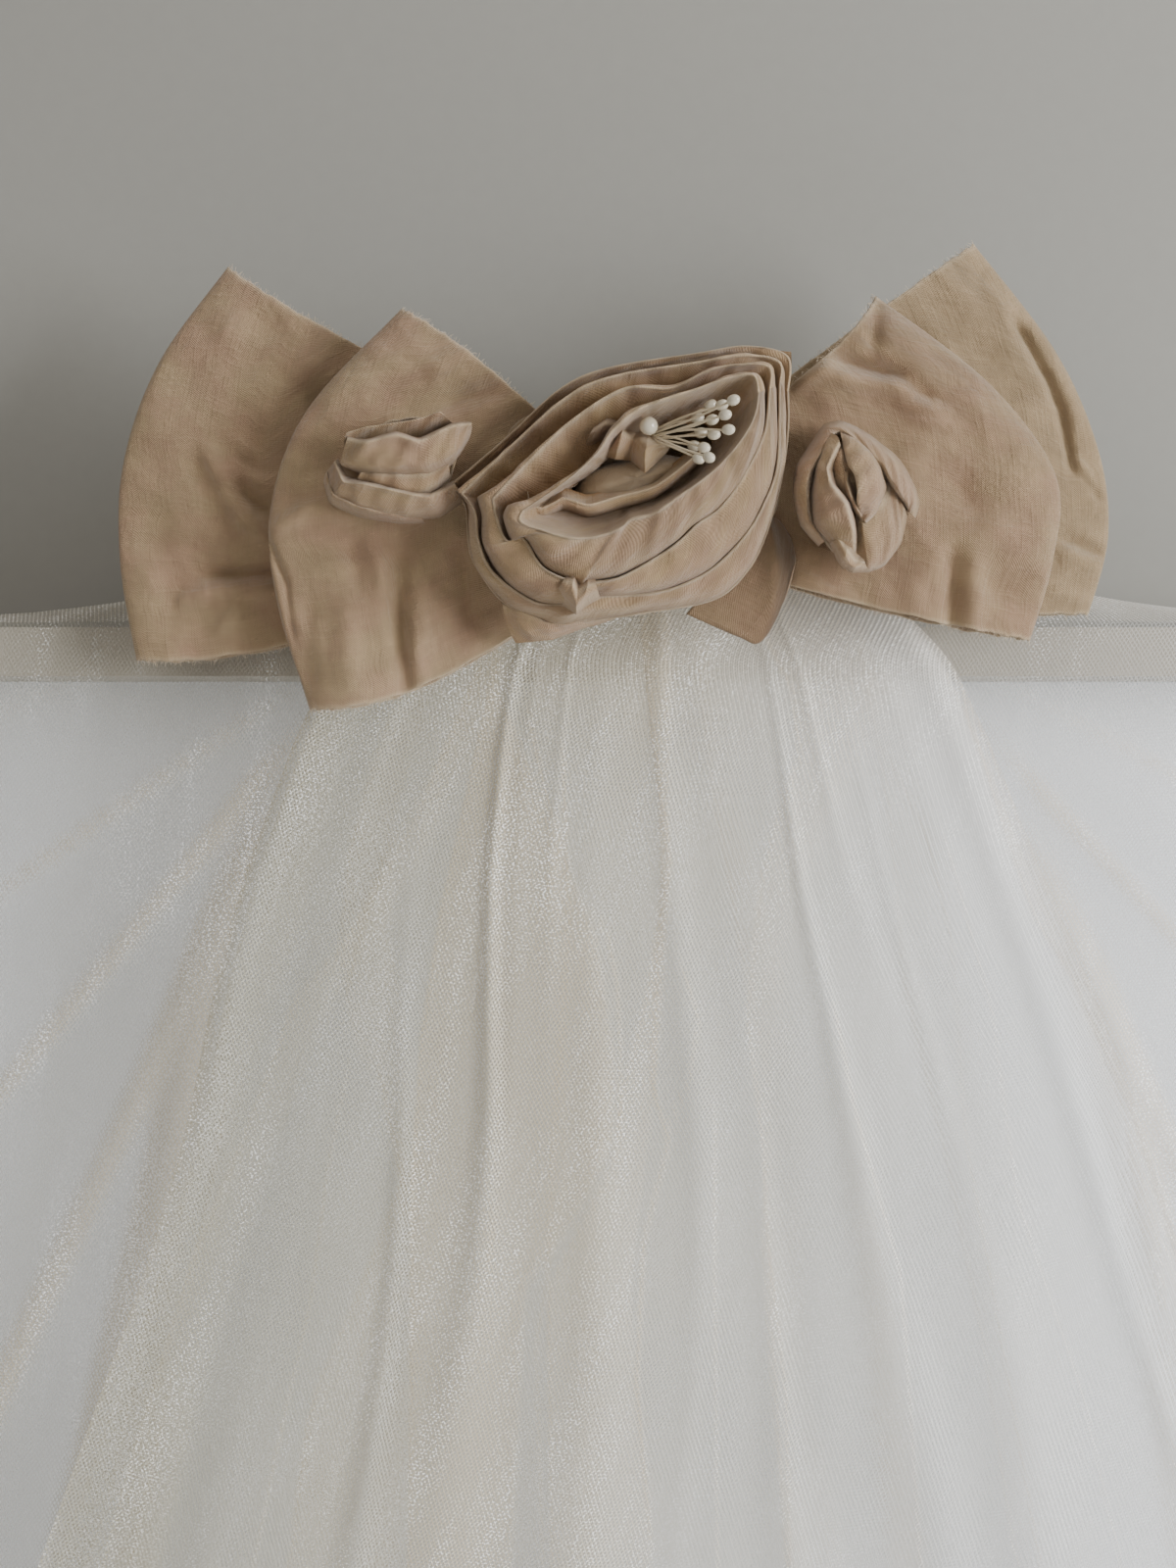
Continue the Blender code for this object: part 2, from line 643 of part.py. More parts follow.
def pearl():
    """The one round pearl beside the stamens."""
    spot = place(PEARL["x"], PEARL["z"], PEARL["y"])
    shape = bmesh.new()
    bmesh.ops.create_icosphere(shape, subdivisions=2, radius=PEARL["size"] / 2)
    points = [tuple(np.array(vert.co) + spot) for vert in shape.verts]
    faces = [tuple(vert.index for vert in face.verts) for face in shape.faces]
    shape.free()
    solid("pearl", points, faces, (0.9, 0.88, 0.83), 0.2)


def main():
    for old in list(bpy.data.objects):
        bpy.data.objects.remove(old)
    rail()
    sheer_layer()
    for name in LAYERS:
        gathered_layer(name)
    carriers()
    comb()
    for name in LOOPS:
        loop(name)
    rose()
    buds()
    stamens()
    pearl()


main()
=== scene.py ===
"""Bridal veil with a bow headpiece on a rail, dressed as cloth over its solids.

Tables are in millimetres in the front view's layout: X to the right and Z up from the middle of the
rail's top front edge, as it lines up from the camera. place() carries a point to its own depth.
"""

import math

import bmesh
import bpy
import numpy as np
from bpy.props import FloatProperty, FloatVectorProperty, IntProperty, PointerProperty
from bpy.types import Operator, Panel, PropertyGroup
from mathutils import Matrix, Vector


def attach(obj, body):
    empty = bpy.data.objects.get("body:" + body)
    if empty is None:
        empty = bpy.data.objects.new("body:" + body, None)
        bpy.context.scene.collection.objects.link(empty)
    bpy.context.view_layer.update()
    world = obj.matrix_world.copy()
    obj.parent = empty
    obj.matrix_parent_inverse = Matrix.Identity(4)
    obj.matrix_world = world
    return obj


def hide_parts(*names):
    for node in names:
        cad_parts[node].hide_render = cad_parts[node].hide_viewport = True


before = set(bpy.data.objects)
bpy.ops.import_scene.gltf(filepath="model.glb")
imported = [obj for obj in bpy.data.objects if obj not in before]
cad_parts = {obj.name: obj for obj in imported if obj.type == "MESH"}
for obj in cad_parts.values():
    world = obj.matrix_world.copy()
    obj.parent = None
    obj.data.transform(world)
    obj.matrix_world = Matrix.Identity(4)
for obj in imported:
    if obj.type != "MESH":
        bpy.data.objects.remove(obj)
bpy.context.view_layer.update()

bl_info = {
    "name": "Bridal veil",
    "version": (1, 0, 0),
    "blender": (4, 5, 0),
    "location": "View3D > Sidebar > Veil",
    "description": "Builds a gathered tulle veil with a raw-silk bow, rose, buds and stamens",
    "category": "Add Mesh",
}

MM = 0.001

# Layout, as in the part's source
RAIL_TOP = 7.5
RAIL_FRONT = -40.0
EYE_X = -12.0
EYE_AWAY = 750.0
EYE_Z = -48.0

# Tulle
VEIL_DROP = 600.0
VEIL_EDGES = (
    # drop, left, right
    (-21, -52, 62), (-6, -72, 84), (10, -90, 99), (36, -102, 111), (78, -117, 127),
    (117, -127, 143), (160, -135, 158), (204, -147, 171), (290, -177, 196), (420, -224, 237),
    (600, -290, 300),
)
GATHER_TOP = VEIL_EDGES[0][0]
TULLE_WALL = 1.3
SEAM_GAP = 0.3
# How far a layer's folds reach forward, in fold depths
FOLD_REACH = 1.75
SHEER_HALF = 230.0
SHEER_HEM_HALF = 318.0
SHEER_TOP_FOLD = 0.3
SHEER_HEM_FOLD = 4.5
# Degrees by which the sheer layer rises behind the bow, from the middle to its sides
SHEER_RISE = (90, 90, 86, 66, 36, 20, 11, 5)
# Rows of the sheer layer over the rail's top, and the drops at which its hanging part starts and ends
SHEER_TOP_ROWS = 14
SHEER_START, SHEER_END = 8, 585
# Cells are drawn this much wider than they are, so that they show at the picture's size
NET_SCALE = 1.25
# How much the net's openings and its threads cover
SHEER_COVER = (0.03, 0.27)
GATHERED_COVER = (0.03, 0.66)
LAYERS = {
    "veil_under": dict(length=0.97, top_fold=1.0, hem_fold=7.0, width=0.97),
    "veil_upper": dict(length=1.0, top_fold=1.1, hem_fold=9.0, width=1.0),
}
# Soft folds: place across the layer at the gather and at the hem, width at the hem, height
UPPER_FOLDS = (
    (0.010, 0.004, 0.030, 0.5), (0.115, 0.126, 0.045, 0.5), (0.215, 0.232, 0.034, 0.4),
    (0.300, 0.310, 0.040, 0.5), (0.372, 0.398, 0.028, 0.35), (0.446, 0.430, 0.045, 0.5),
    (0.536, 0.520, 0.030, 0.4), (0.580, 0.610, 0.050, 0.45), (0.700, 0.718, 0.042, 0.5),
    (0.762, 0.772, 0.034, 0.3), (0.850, 0.826, 0.050, 0.5), (0.946, 0.950, 0.036, 0.45),
)
UNDER_FOLDS = (
    (0.015, 0.020, 0.044, 0.5), (0.165, 0.150, 0.040, 0.35), (0.235, 0.246, 0.046, 0.5),
    (0.330, 0.318, 0.036, 0.4), (0.465, 0.476, 0.052, 0.5), (0.560, 0.548, 0.036, 0.35),
    (0.625, 0.640, 0.044, 0.45), (0.740, 0.752, 0.050, 0.5), (0.815, 0.830, 0.040, 0.4),
    (0.905, 0.894, 0.048, 0.45),
)
# Stretches where the net lies doubled: how dense, how soft their right edge is, and then x and drop
# along the left edge and the right edge
DOUBLED = {
    "veil_upper": (
        (1.2, 3.0, ((-42, 0), (-42, 16), (-49, 47), (-58, 88), (-64, 126), (-67, 173), (-68, 288),
                    (-88, 420), (-120, 600)),
         ((-36, 0), (-39, 16), (-25, 52), (-8, 95), (-2, 134), (-3, 158), (-14, 181), (-30, 204),
          (-34, 288), (-48, 420), (-75, 600))),
        (0.75, 2.0, ((4, 0), (9, 50), (10, 79), (6, 110), (-2, 142), (-5, 165), (-25, 204), (-24, 288),
                     (-30, 420), (-45, 600)),
         ((14, 0), (14, 60), (13, 100), (10, 140), (6, 170), (2, 205), (8, 288), (14, 420), (24, 600))),
        (0.55, 6.0, ((-47, 14), (-66, 60), (-88, 100), (-103, 118), (-118, 160), (-134, 200), (-152, 260),
                     (-195, 420), (-250, 600)),
         ((-36, 14), (-54, 60), (-76, 100), (-92, 124), (-106, 166), (-118, 206), (-132, 260),
          (-172, 420), (-224, 600))),
        (0.50, 12.0, ((98, 0), (104, 30), (114, 60), (124, 92), (136, 112), (154, 155), (172, 215),
                      (190, 288), (216, 420), (262, 600)),
         ((104, 0), (116, 34), (126, 64), (138, 96), (154, 120), (172, 160), (190, 215), (206, 288),
          (232, 420), (280, 600))),
        (0.50, 9.0, ((40, 0), (50, 20), (52, 40), (45, 60), (40, 80), (36, 120), (41, 160), (44, 220),
                     (48, 288), (60, 420), (78, 600)),
         ((76, 0), (84, 20), (74, 45), (64, 62), (56, 85), (50, 125), (49, 170), (54, 220), (60, 288),
          (78, 420), (100, 600))),
    ),
    "veil_under": (
        (0.9, 3.0, ((-62, 0), (-76, 35), (-86, 70), (-89, 100), (-84, 130), (-76, 142), (-70, 172),
                    (-82, 204), (-97, 240), (-104, 288), (-132, 420), (-180, 600)),
         ((-54, 0), (-62, 30), (-70, 60), (-72, 95), (-66, 125), (-62, 160), (-66, 200), (-74, 240),
          (-84, 288), (-108, 420), (-150, 600))),
        (0.7, 5.0, ((-90, 0), (-103, 60), (-112, 94), (-122, 118), (-130, 150), (-140, 189), (-151, 236),
                    (-160, 277), (-205, 420), (-268, 600)),
         ((-78, 0), (-90, 60), (-98, 94), (-104, 112), (-112, 140), (-120, 180), (-128, 220),
          (-136, 277), (-172, 420), (-226, 600))),
        (0.5, 5.0, ((20, 0), (24, 40), (30, 75), (36, 110), (43, 140), (41, 190), (44, 240), (50, 288),
                    (66, 420), (92, 600)),
         ((26, 0), (32, 40), (42, 75), (52, 115), (58, 150), (56, 190), (60, 240), (70, 288), (92, 420),
          (124, 600))),
        (0.4, 9.0, ((70, 0), (80, 60), (84, 110), (96, 160), (108, 220), (118, 288), (150, 420),
                    (190, 600)),
         ((86, 0), (100, 60), (108, 110), (124, 160), (140, 220), (150, 288), (180, 420), (226, 600))),
    ),
}
# Thin lines where a fold turns over, many of them crossing the long folds: how dense and how wide,
# and then x and drop along the line
FOLD_LINES = {
    "veil_upper": (
        (1.3, 0.7, ((-32, 18), (-25, 52), (-20, 66), (-25, 83), (-29, 98))),
        (1.2, 0.7, ((-16, 80), (-6, 94), (-3, 110), (-2, 134), (-3, 160))),
        (1.5, 0.8, ((5, -6), (8, 32), (13, 71), (9, 108), (8, 142), (13, 158), (5, 189), (3, 232),
                    (8, 290))),
        (1.2, 0.6, ((14, 96), (22, 120), (19, 139), (9, 162))),
        (0.9, 0.6, ((27, 140), (27, 200), (28, 288), (34, 420), (50, 600))),
        (0.9, 0.6, ((43, 186), (49, 236), (50, 288), (60, 420), (80, 600))),
        (1.0, 0.6, ((62, 110), (70, 150), (84, 200), (90, 288), (112, 420), (144, 600))),
        (1.1, 0.6, ((-40, 176), (-44, 206), (-38, 226), (-30, 206))),
        (1.1, 0.8, ((-20, 30), (-18, 90), (-22, 150), (-25, 204))),
        (0.8, 0.6, ((96, 60), (112, 120), (120, 180), (140, 240), (160, 330), (200, 600))),
    ),
    "veil_under": (
        (1.4, 0.7, ((-77, 134), (-74, 150), (-69, 172), (-67, 190))),
        (1.2, 0.7, ((-46, 20), (-58, 44), (-68, 60), (-76, 76), (-84, 104), (-88, 128))),
        (1.2, 0.6, ((-84, 130), (-92, 170), (-97, 210), (-108, 260), (-140, 420))),
        (1.0, 0.6, ((-12, 92), (-20, 130), (-19, 170), (-28, 220), (-26, 288), (-40, 600))),
        (1.0, 0.6, ((62, 24), (80, 40), (92, 66), (100, 100), (104, 160), (126, 288), (180, 600))),
        (0.9, 0.6, ((-104, 60), (-118, 110), (-126, 170), (-140, 240), (-160, 330), (-230, 600))),
        (1.0, 0.6, ((-66, 200), (-80, 224), (-98, 246), (-104, 288))),
    ),
}
# Long soft folds of the sheer layer: x and drop at the start and at the end, width, height
SHEER_FOLDS = (
    (-92, 12, -205, 90, 3.0, 1.2), (-100, 30, -230, 190, 3.6, 1.4), (-112, 60, -235, 330, 5.0, 1.6),
    (-124, 90, -215, 480, 7.0, 2.2), (-135, 140, -180, 560, 6.0, 1.8), (-60, 150, -110, 590, 7.0, 1.6),
    (102, 10, 215, 70, 3.0, 1.2), (112, 34, 235, 170, 3.6, 1.4), (122, 70, 238, 300, 5.0, 1.6),
    (138, 100, 228, 450, 7.0, 2.2), (152, 150, 205, 570, 6.0, 1.8), (70, 160, 120, 590, 7.0, 1.6),
    (-10, 120, -20, 590, 8.0, 1.4), (-150, 8, -228, 40, 5.0, 1.0), (160, 8, 229, 36, 5.0, 1.0),
)

# Bow loops. Table: outer x, z, middle x, z and pinch x, z, from the bottom edge to the top edge. Pinch
# and fold: depths. Front and back: how far each face swells. Creases: x, z, x, z, width, height
LOOPS = {
    "bow_back_left": dict(
        table=((-150, -10, -97, -4, -10.8, 24), (-155, 20, -98, 17, -10.8, 31),
               (-154, 50, -95, 42, -10.8, 38), (-143, 81, -89, 65, -10.8, 45),
               (-122, 110, -81, 85, -10.8, 52)),
        pinch=-57.0, fold=-58.5, front=3.5, back=3.6, pleats=3.0, seed=1.0,
        creases=((-133, 52, -121, 30, 5.0, -1.0), (-128, 54, -118, 34, 3.0, 1.0),
                 (-118, 34, -106, 25, 3.0, 1.2), (-121, 44, -108, 34, 3.0, -0.8),
                 (-128, 16, -104, 16, 2.4, -1.1), (-137, 7, -127, 11, 2.6, 0.9),
                 (-127, 11, -104, 10, 3.0, 0.8), (-125, -2, -118, 6, 1.8, 0.6),
                 (-119, 57, -112, 52, 1.2, 0.4), (-118, 52, -111, 47, 1.2, -0.4),
                 (-116, 47, -110, 42, 1.2, 0.4), (-148, 62, -124, 66, 6.0, 0.5),
                 (-146, 30, -134, 4, 5.0, -0.5), (-130, 98, -98, 70, 7.0, 0.5),
                 (-116, 84, -86, 62, 5.0, -0.6))),
    "bow_back_right": dict(
        table=((141, 4, 86, 8, 16.8, 24), (147, 28, 88, 28, 16.8, 31), (144, 54, 88, 49, 16.8, 38),
               (131, 84, 82, 72, 16.8, 45), (106, 117, 71, 92, 16.8, 52)),
        pinch=-57.0, fold=-58.5, front=3.5, back=3.6, pleats=2.5, seed=2.0,
        creases=((118.5, 93, 126, 79.5, 1.5, -1.0), (126, 79.5, 132, 67.5, 1.5, -1.1),
                 (132, 67.5, 136, 48, 1.5, -1.0), (123, 94, 131, 80, 2.6, 0.6),
                 (131, 80, 138, 62, 2.6, 0.6), (137, 51, 142.5, 43, 1.3, 0.7),
                 (139, 47, 145, 38, 1.2, -0.5), (132, 27, 146, 22, 1.8, -0.9),
                 (131, 23, 146, 17, 2.2, 0.7), (110, 104, 118, 92, 3.0, 0.5),
                 (128, 12, 140, 8, 3.0, 0.5))),
    "bow_front_left": dict(
        table=((-97, -25, -60, -17, -11.5, 14), (-107, 8, -62, 8, -11.5, 23),
               (-109, 36, -62, 34, -11.5, 32), (-98, 66, -57, 60, -11.5, 41),
               (-69, 97, -43, 79, -11.5, 50)),
        pinch=-68.0, fold=-76.0, front=5.5, back=3.6, pleats=3.5, seed=3.0,
        creases=((-69, 22, -70, 3, 2.8, -1.3), (-70, 4, -67, -20, 2.8, -1.2),
                 (-62, 15, -64, -15, 3.6, 0.9), (-110, 28, -104, 12, 1.4, -0.9),
                 (-104, 12, -102, -4, 1.4, -0.7), (-110, 29, -96, 36, 2.4, 1.0),
                 (-96, 36, -58, 33, 3.0, 0.9), (-100, 24, -60, 25, 5.0, -0.6),
                 (-51, 24, -49, 0, 3.0, -0.9), (-43, 8, -36, -3, 2.6, -0.7),
                 (-97, 6, -99, -20, 4.0, -0.6), (-86, 8, -84, -20, 4.5, 0.6),
                 (-36, 73, -58, 67, 3.4, -0.9), (-48, 84, -60, 76, 3.0, 0.6),
                 (-75, 84, -92, 66, 6.0, 0.5), (-98, 56, -92, 44, 4.0, -0.5),
                 (-78, 27, -74, 12, 2.0, 0.5), (-84, 24, -82, 10, 2.0, -0.4))),
    "bow_front_right": dict(
        table=((123, -4, 73, 6, 17.5, 22), (130, 20, 75, 26, 17.5, 29), (131, 46, 75, 46, 17.5, 36),
               (111, 74, 68, 66, 17.5, 43), (76, 101, 57, 79, 17.5, 50)),
        pinch=-68.0, fold=-76.0, front=5.5, back=3.6, pleats=3.0, seed=4.0,
        creases=((99, 22, 98, -2, 2.2, -1.2), (106, 22, 105, -3, 3.0, 0.9),
                 (64, 81, 82, 77, 2.4, -1.2), (82, 77, 92, 70, 2.6, -0.7),
                 (60, 76, 86, 71, 3.0, 0.9), (76, 101, 75, 84, 2.6, -0.8),
                 (51, 72, 62, 80, 2.6, 0.7), (82, 68, 96, 64, 1.3, 0.4), (84, 73, 98, 68, 1.3, -0.4),
                 (86, 63, 100, 60, 1.2, 0.35), (132, 28, 104, 27, 5.0, 0.6),
                 (124, 14, 108, 12, 4.0, -0.5), (90, 20, 86, 2, 3.6, 0.5), (51, 15, 68, 7, 2.6, 0.7),
                 (104, 74, 124, 50, 6.0, 0.5), (92, 84, 110, 66, 4.0, -0.5),
                 (96, 44, 110, 36, 5.0, -0.4))),
}
LOOP_ACROSS = 96
LOOP_ALONG = 150
# How many rows of a loop its pale raw edge takes up, paled partly as a painted highlight, and the part of
# its length whose edge frays
EDGE_ROWS = 1.3
FRAYED = slice(int(LOOP_ALONG * 0.12), int(LOOP_ALONG * 0.86))

# Silks: the colour, or the colour and the tint of its patches
# A darker copy of the silk for the front right loop, standing for the shade where the light grazes it:
# painted shade
PAINTED_SHADE_SILK = (0.355, 0.244, 0.138), (0.345, 0.219, 0.133)
# A darker copy of the silk for the petal tucked behind the rose: painted shade
PETAL_SILK_IN_PAINTED_SHADE = (0.29, 0.195, 0.108), (0.285, 0.18, 0.105)
HEART_SATIN = (0.305, 0.215, 0.128), (0.325, 0.243, 0.152)
ROSE_SILK = (0.43, 0.298, 0.163)
BUD_SILK = (0.395, 0.275, 0.154)
# Paler colour near a lip: partly the frayed pale edge, partly a painted highlight where the edge catches
# the light
LIP_PALE_AND_HIGHLIGHT = (0.62, 0.49, 0.325)
# Dark warm brown in the valleys between turns: painted shade
VALLEY_PAINTED_SHADE = (0.215, 0.115, 0.042)
FLOWER_SLUBS = 0.7

# Hidden pads: middle x, middle z, half width, half height, depth at the back and at the front
PADS = {
    "base": (3.0, 42.0, 51.5, 20.5, -46.2, -51.8),
    "bow_knot": (2.4, 37.0, 13.6, 20.6, -52.5, -78.8),
    "rose_seat": (0.67, 37.0, 42.0, 31.0, -79.4, -81.0),
}

# Rose: each turn's lip as x and z, its upper half from the right corner to the left tip and its lower
# half back to the right corner, from the outermost turn inward
ROSE_BACK = -82.0
ROSE_TURNS = {
    "rose_wrap_1": dict(
        depth=-90.0,
        upper=((49.5, 72), (49.3, 83), (36.6, 86.2), (21.3, 84), (-4.8, 79.8), (-20.1, 73.5),
               (-37.8, 57.6), (-55, 43)),
        lower=((-55, 43), (-50, 38), (-48.6, 24), (-45.3, 16.5), (-37.8, 7.2), (-26.4, 1.6),
               (-19, 0.5), (-7.2, 2.2), (6, 4.2), (26.4, 8.1), (36.6, 16.5), (42.6, 27.9),
               (47.5, 45), (49.5, 60), (49.5, 72))),
    "rose_wrap_2": dict(
        depth=-98.0,
        upper=((47, 75), (46.6, 81.6), (36, 83.6), (21.3, 81.4), (-4.8, 77), (-19, 70.5),
               (-36, 55.5), (-51, 41)),
        lower=((-51, 41), (-47, 35.5), (-46, 26.4), (-41.5, 16.5), (-29.4, 7.6), (-20.1, 6.6),
               (-15.6, 5.0), (-9.3, 8.8), (9.6, 10.2), (24.9, 16.5), (36.6, 27.9), (43, 39),
               (46.4, 49), (47, 62), (47, 75))),
    "rose_wrap_3": dict(
        depth=-105.0,
        upper=((44, 73), (43.6, 80), (33, 80.6), (24.3, 78.6), (13.5, 73.6), (-0.9, 73.4),
               (-17.1, 63.6), (-32, 49.5), (-41.5, 39.5)),
        lower=((-41.5, 39.5), (-40.5, 34.0), (-37.4, 26.4), (-32.4, 27.3), (-26.4, 18), (-17.2, 13.2),
               (-15.2, 10.4), (-12.6, 13.0), (-1.8, 15), (13.5, 24), (21.3, 30.9), (28.8, 36.3),
               (36.6, 47.1), (42.6, 60), (44, 73))),
    "rose_wrap_4": dict(
        depth=-111.0,
        upper=((40.6, 72), (38.6, 77.6), (30, 76.4), (20.4, 73), (4.2, 67.6), (-4.8, 60.4),
               (-9.8, 53), (-19, 44.6), (-32.4, 35.4)),
        lower=((-32.4, 35.4), (-33, 32.0), (-26, 29.2), (-17.4, 26.9), (-9, 27.4), (-2.2, 29.8),
               (1.2, 32.6), (8.4, 34.4), (18, 41.0), (27.4, 48.4), (35, 57), (39.4, 65), (40.6, 72))),
}
ROSE_FLOOR = dict(
    depth=-97.0,
    upper=((26, 56), (24, 62), (17, 62), (10, 60), (2, 57), (-4, 53), (-10, 48), (-17, 42.5)),
    lower=((-17, 42.5), (-16, 39.5), (-11, 37.5), (-4, 38), (4, 39.5), (11, 42), (18, 46.5), (26, 56)))
CURL = ((-30.5, 40.6), (-29.4, 37.4), (-26.6, 35.9), (-22.5, 37.6), (-19.5, 38.9), (-15, 37.6),
        (-11.7, 36.9), (-6, 38.4), (-2.1, 39.6), (4, 41), (9.3, 43), (17.1, 48.8), (23, 54))
CURL_DEPTH = -104.0
# Rows of a turn's outer face and of the bend at its lip; the lip's own row; rows of a laid fold
OUTER_ROWS, BEND_ROWS = 18, 7
LIP_ROW = OUTER_ROWS + BEND_ROWS // 2
FOLD_ROWS = 44
# Rows of a lip's pale edge and painted highlight, and of a valley's painted shade; a fold's lip row; its
# rows in rose and bud
LIP_REACH, VALLEY_REACH = 3.6, 6.5
FOLD_LIP_ROW, FOLD_LIP_REACH, BUD_LIP_REACH = 29, 4.0, 3.2
# No valley of the rose is deeper than this
VALLEY_FLOOR = -84.0
HEART = dict(x=3.0, z=45.5, long=20.0, short=8.0, tilt=11.0, back=-92.0, front=-101.5)
PETAL = ((18, 4, 30, 22, 34, 40), (34, -3, 40, 18, 38, 38), (41, -4.5, 45, 15, 42, 36),
         (48, 8, 48, 20, 44, 34), (51.5, 20, 50, 27, 46, 33))
PETAL_DEPTH = -78.5

# Folds that are laid in the rose and the buds: each is a surface through lines of x, z and depth
ROSE_FOLDS = {
    "rose_tuck_left": (
        ((-12, 53, -95), (-8, 56, -97), (-4, 57, -96), (0, 59, -95)),
        ((-12.5, 56.5, -101), (-8.6, 59.4, -105), (-5, 59.6, -101), (-0.6, 62, -103)),
        ((-11, 60, -103), (-7, 62.5, -106), (-3.6, 62, -103), (0.8, 65, -104)),
        ((-9.6, 62.4, -98), (-5.8, 64.5, -99), (-2.2, 64.4, -98), (1.6, 67, -99)),
    ),
    "rose_tuck_tip": (
        ((-7.6, 52.6, -98), (-3.8, 51.4, -102), (1.2, 50.8, -99), (5.4, 47.2, -104.5), (10.6, 51.8, -99)),
        ((-6.4, 55.2, -101), (-2.6, 55.4, -105.5), (1.2, 54.2, -101), (5.6, 52.8, -107.5),
         (12, 53.4, -101)),
        ((-4.4, 58, -101), (-1.6, 59.6, -105), (2, 57.8, -102), (6.2, 57.2, -106), (13, 55, -101.5)),
        ((-2.8, 60.2, -97), (-0.6, 62.2, -100), (2.6, 60, -98), (7, 59.4, -100), (13.4, 57, -98)),
    ),
    "rose_notch": (
        ((-22, 8.5, -98), (-18, 5.6, -99), (-15.6, 3.8, -99), (-13.4, 5.8, -99), (-8, 8.6, -98)),
        ((-21, 12, -106.6), (-17.4, 9.4, -108.6), (-15.6, 6.4, -108), (-13, 9, -108.6), (-9, 11, -106.8)),
        ((-19.6, 14.2, -107.4), (-16.6, 13.8, -109.6), (-15.2, 10.4, -108.2), (-12.2, 12.8, -109.4),
         (-9.6, 13.2, -107.4)),
        ((-18.6, 16.2, -103), (-16, 16.4, -104), (-14.6, 15.4, -103.4), (-12, 15.2, -104),
         (-9.8, 15.2, -103)),
    ),
    "rose_corner": (
        ((50, 74.2, -88.6), (46.6, 72.0, -88), (40.6, 69, -87)),
        ((50.2, 76, -89), (46.4, 76, -85.5), (39.6, 76.5, -85)),
        ((50.3, 80, -89), (46.4, 80, -85), (38.6, 80.5, -85)),
        ((50.2, 84.3, -88.5), (45.6, 84.9, -89.5), (37.6, 85.4, -87)),
    ),
    "rose_foot": (
        ((-34.2, -4.9, -84), (-29, -4.5, -85.5), (-23.2, -3.9, -86.5), (-19.2, -2.5, -86.5),
         (-13.6, -0.5, -86.5), (-7.2, 1.3, -86.5), (0, 4, -86.5)),
        ((-36.6, 0, -86), (-30, -0.9, -89.5), (-24, -1.4, -90), (-19, -0.2, -90), (-13.4, 1.2, -90),
         (-7, 2.9, -90), (0, 4.9, -89)),
        ((-38.2, 6.8, -88), (-31, 4.6, -91.6), (-25, 1.6, -91.4), (-19.4, 1.0, -91.4),
         (-13.4, 2.4, -91.4), (-7, 4.0, -91.2), (0, 5.8, -90)),
        ((-38, 7.2, -84), (-31, 5.2, -87), (-25, 2.2, -87), (-19.4, 1.6, -87), (-13.4, 2.9, -87),
         (-7, 4.4, -87), (0, 6, -87)),
    ),
}
# Buds: rings at the foot, lip and floor of the outer turn, each with its radii at even angles
BUD_RINGS = {
    "bud_left": dict(
        foot=dict(depth=-81.5, centre=(-71.0, 47.0), radii=(14, 17, 15, 15, 16, 14, 12, 11)),
        lip=dict(depth=-88.0, centre=(-71.0, 48.0), radii=(18, 20, 15.5, 15, 17, 15, 13, 13.5)),
        floor=dict(depth=-85.0, centre=(-71.0, 50.0), radii=(13, 15, 12, 12, 13, 9, 7, 8))),
    "bud_right": dict(
        foot=dict(depth=-80.0, centre=(69.3, 40.5), radii=(15, 14, 16, 13, 14, 14, 17, 15)),
        lip=dict(depth=-87.0, centre=(69.3, 40.5), radii=(16.5, 15.5, 19, 16, 16, 15.5, 21, 18)),
        floor=dict(depth=-85.0, centre=(69.0, 42.0), radii=(11, 11, 13, 10, 9, 10, 14, 12))),
}
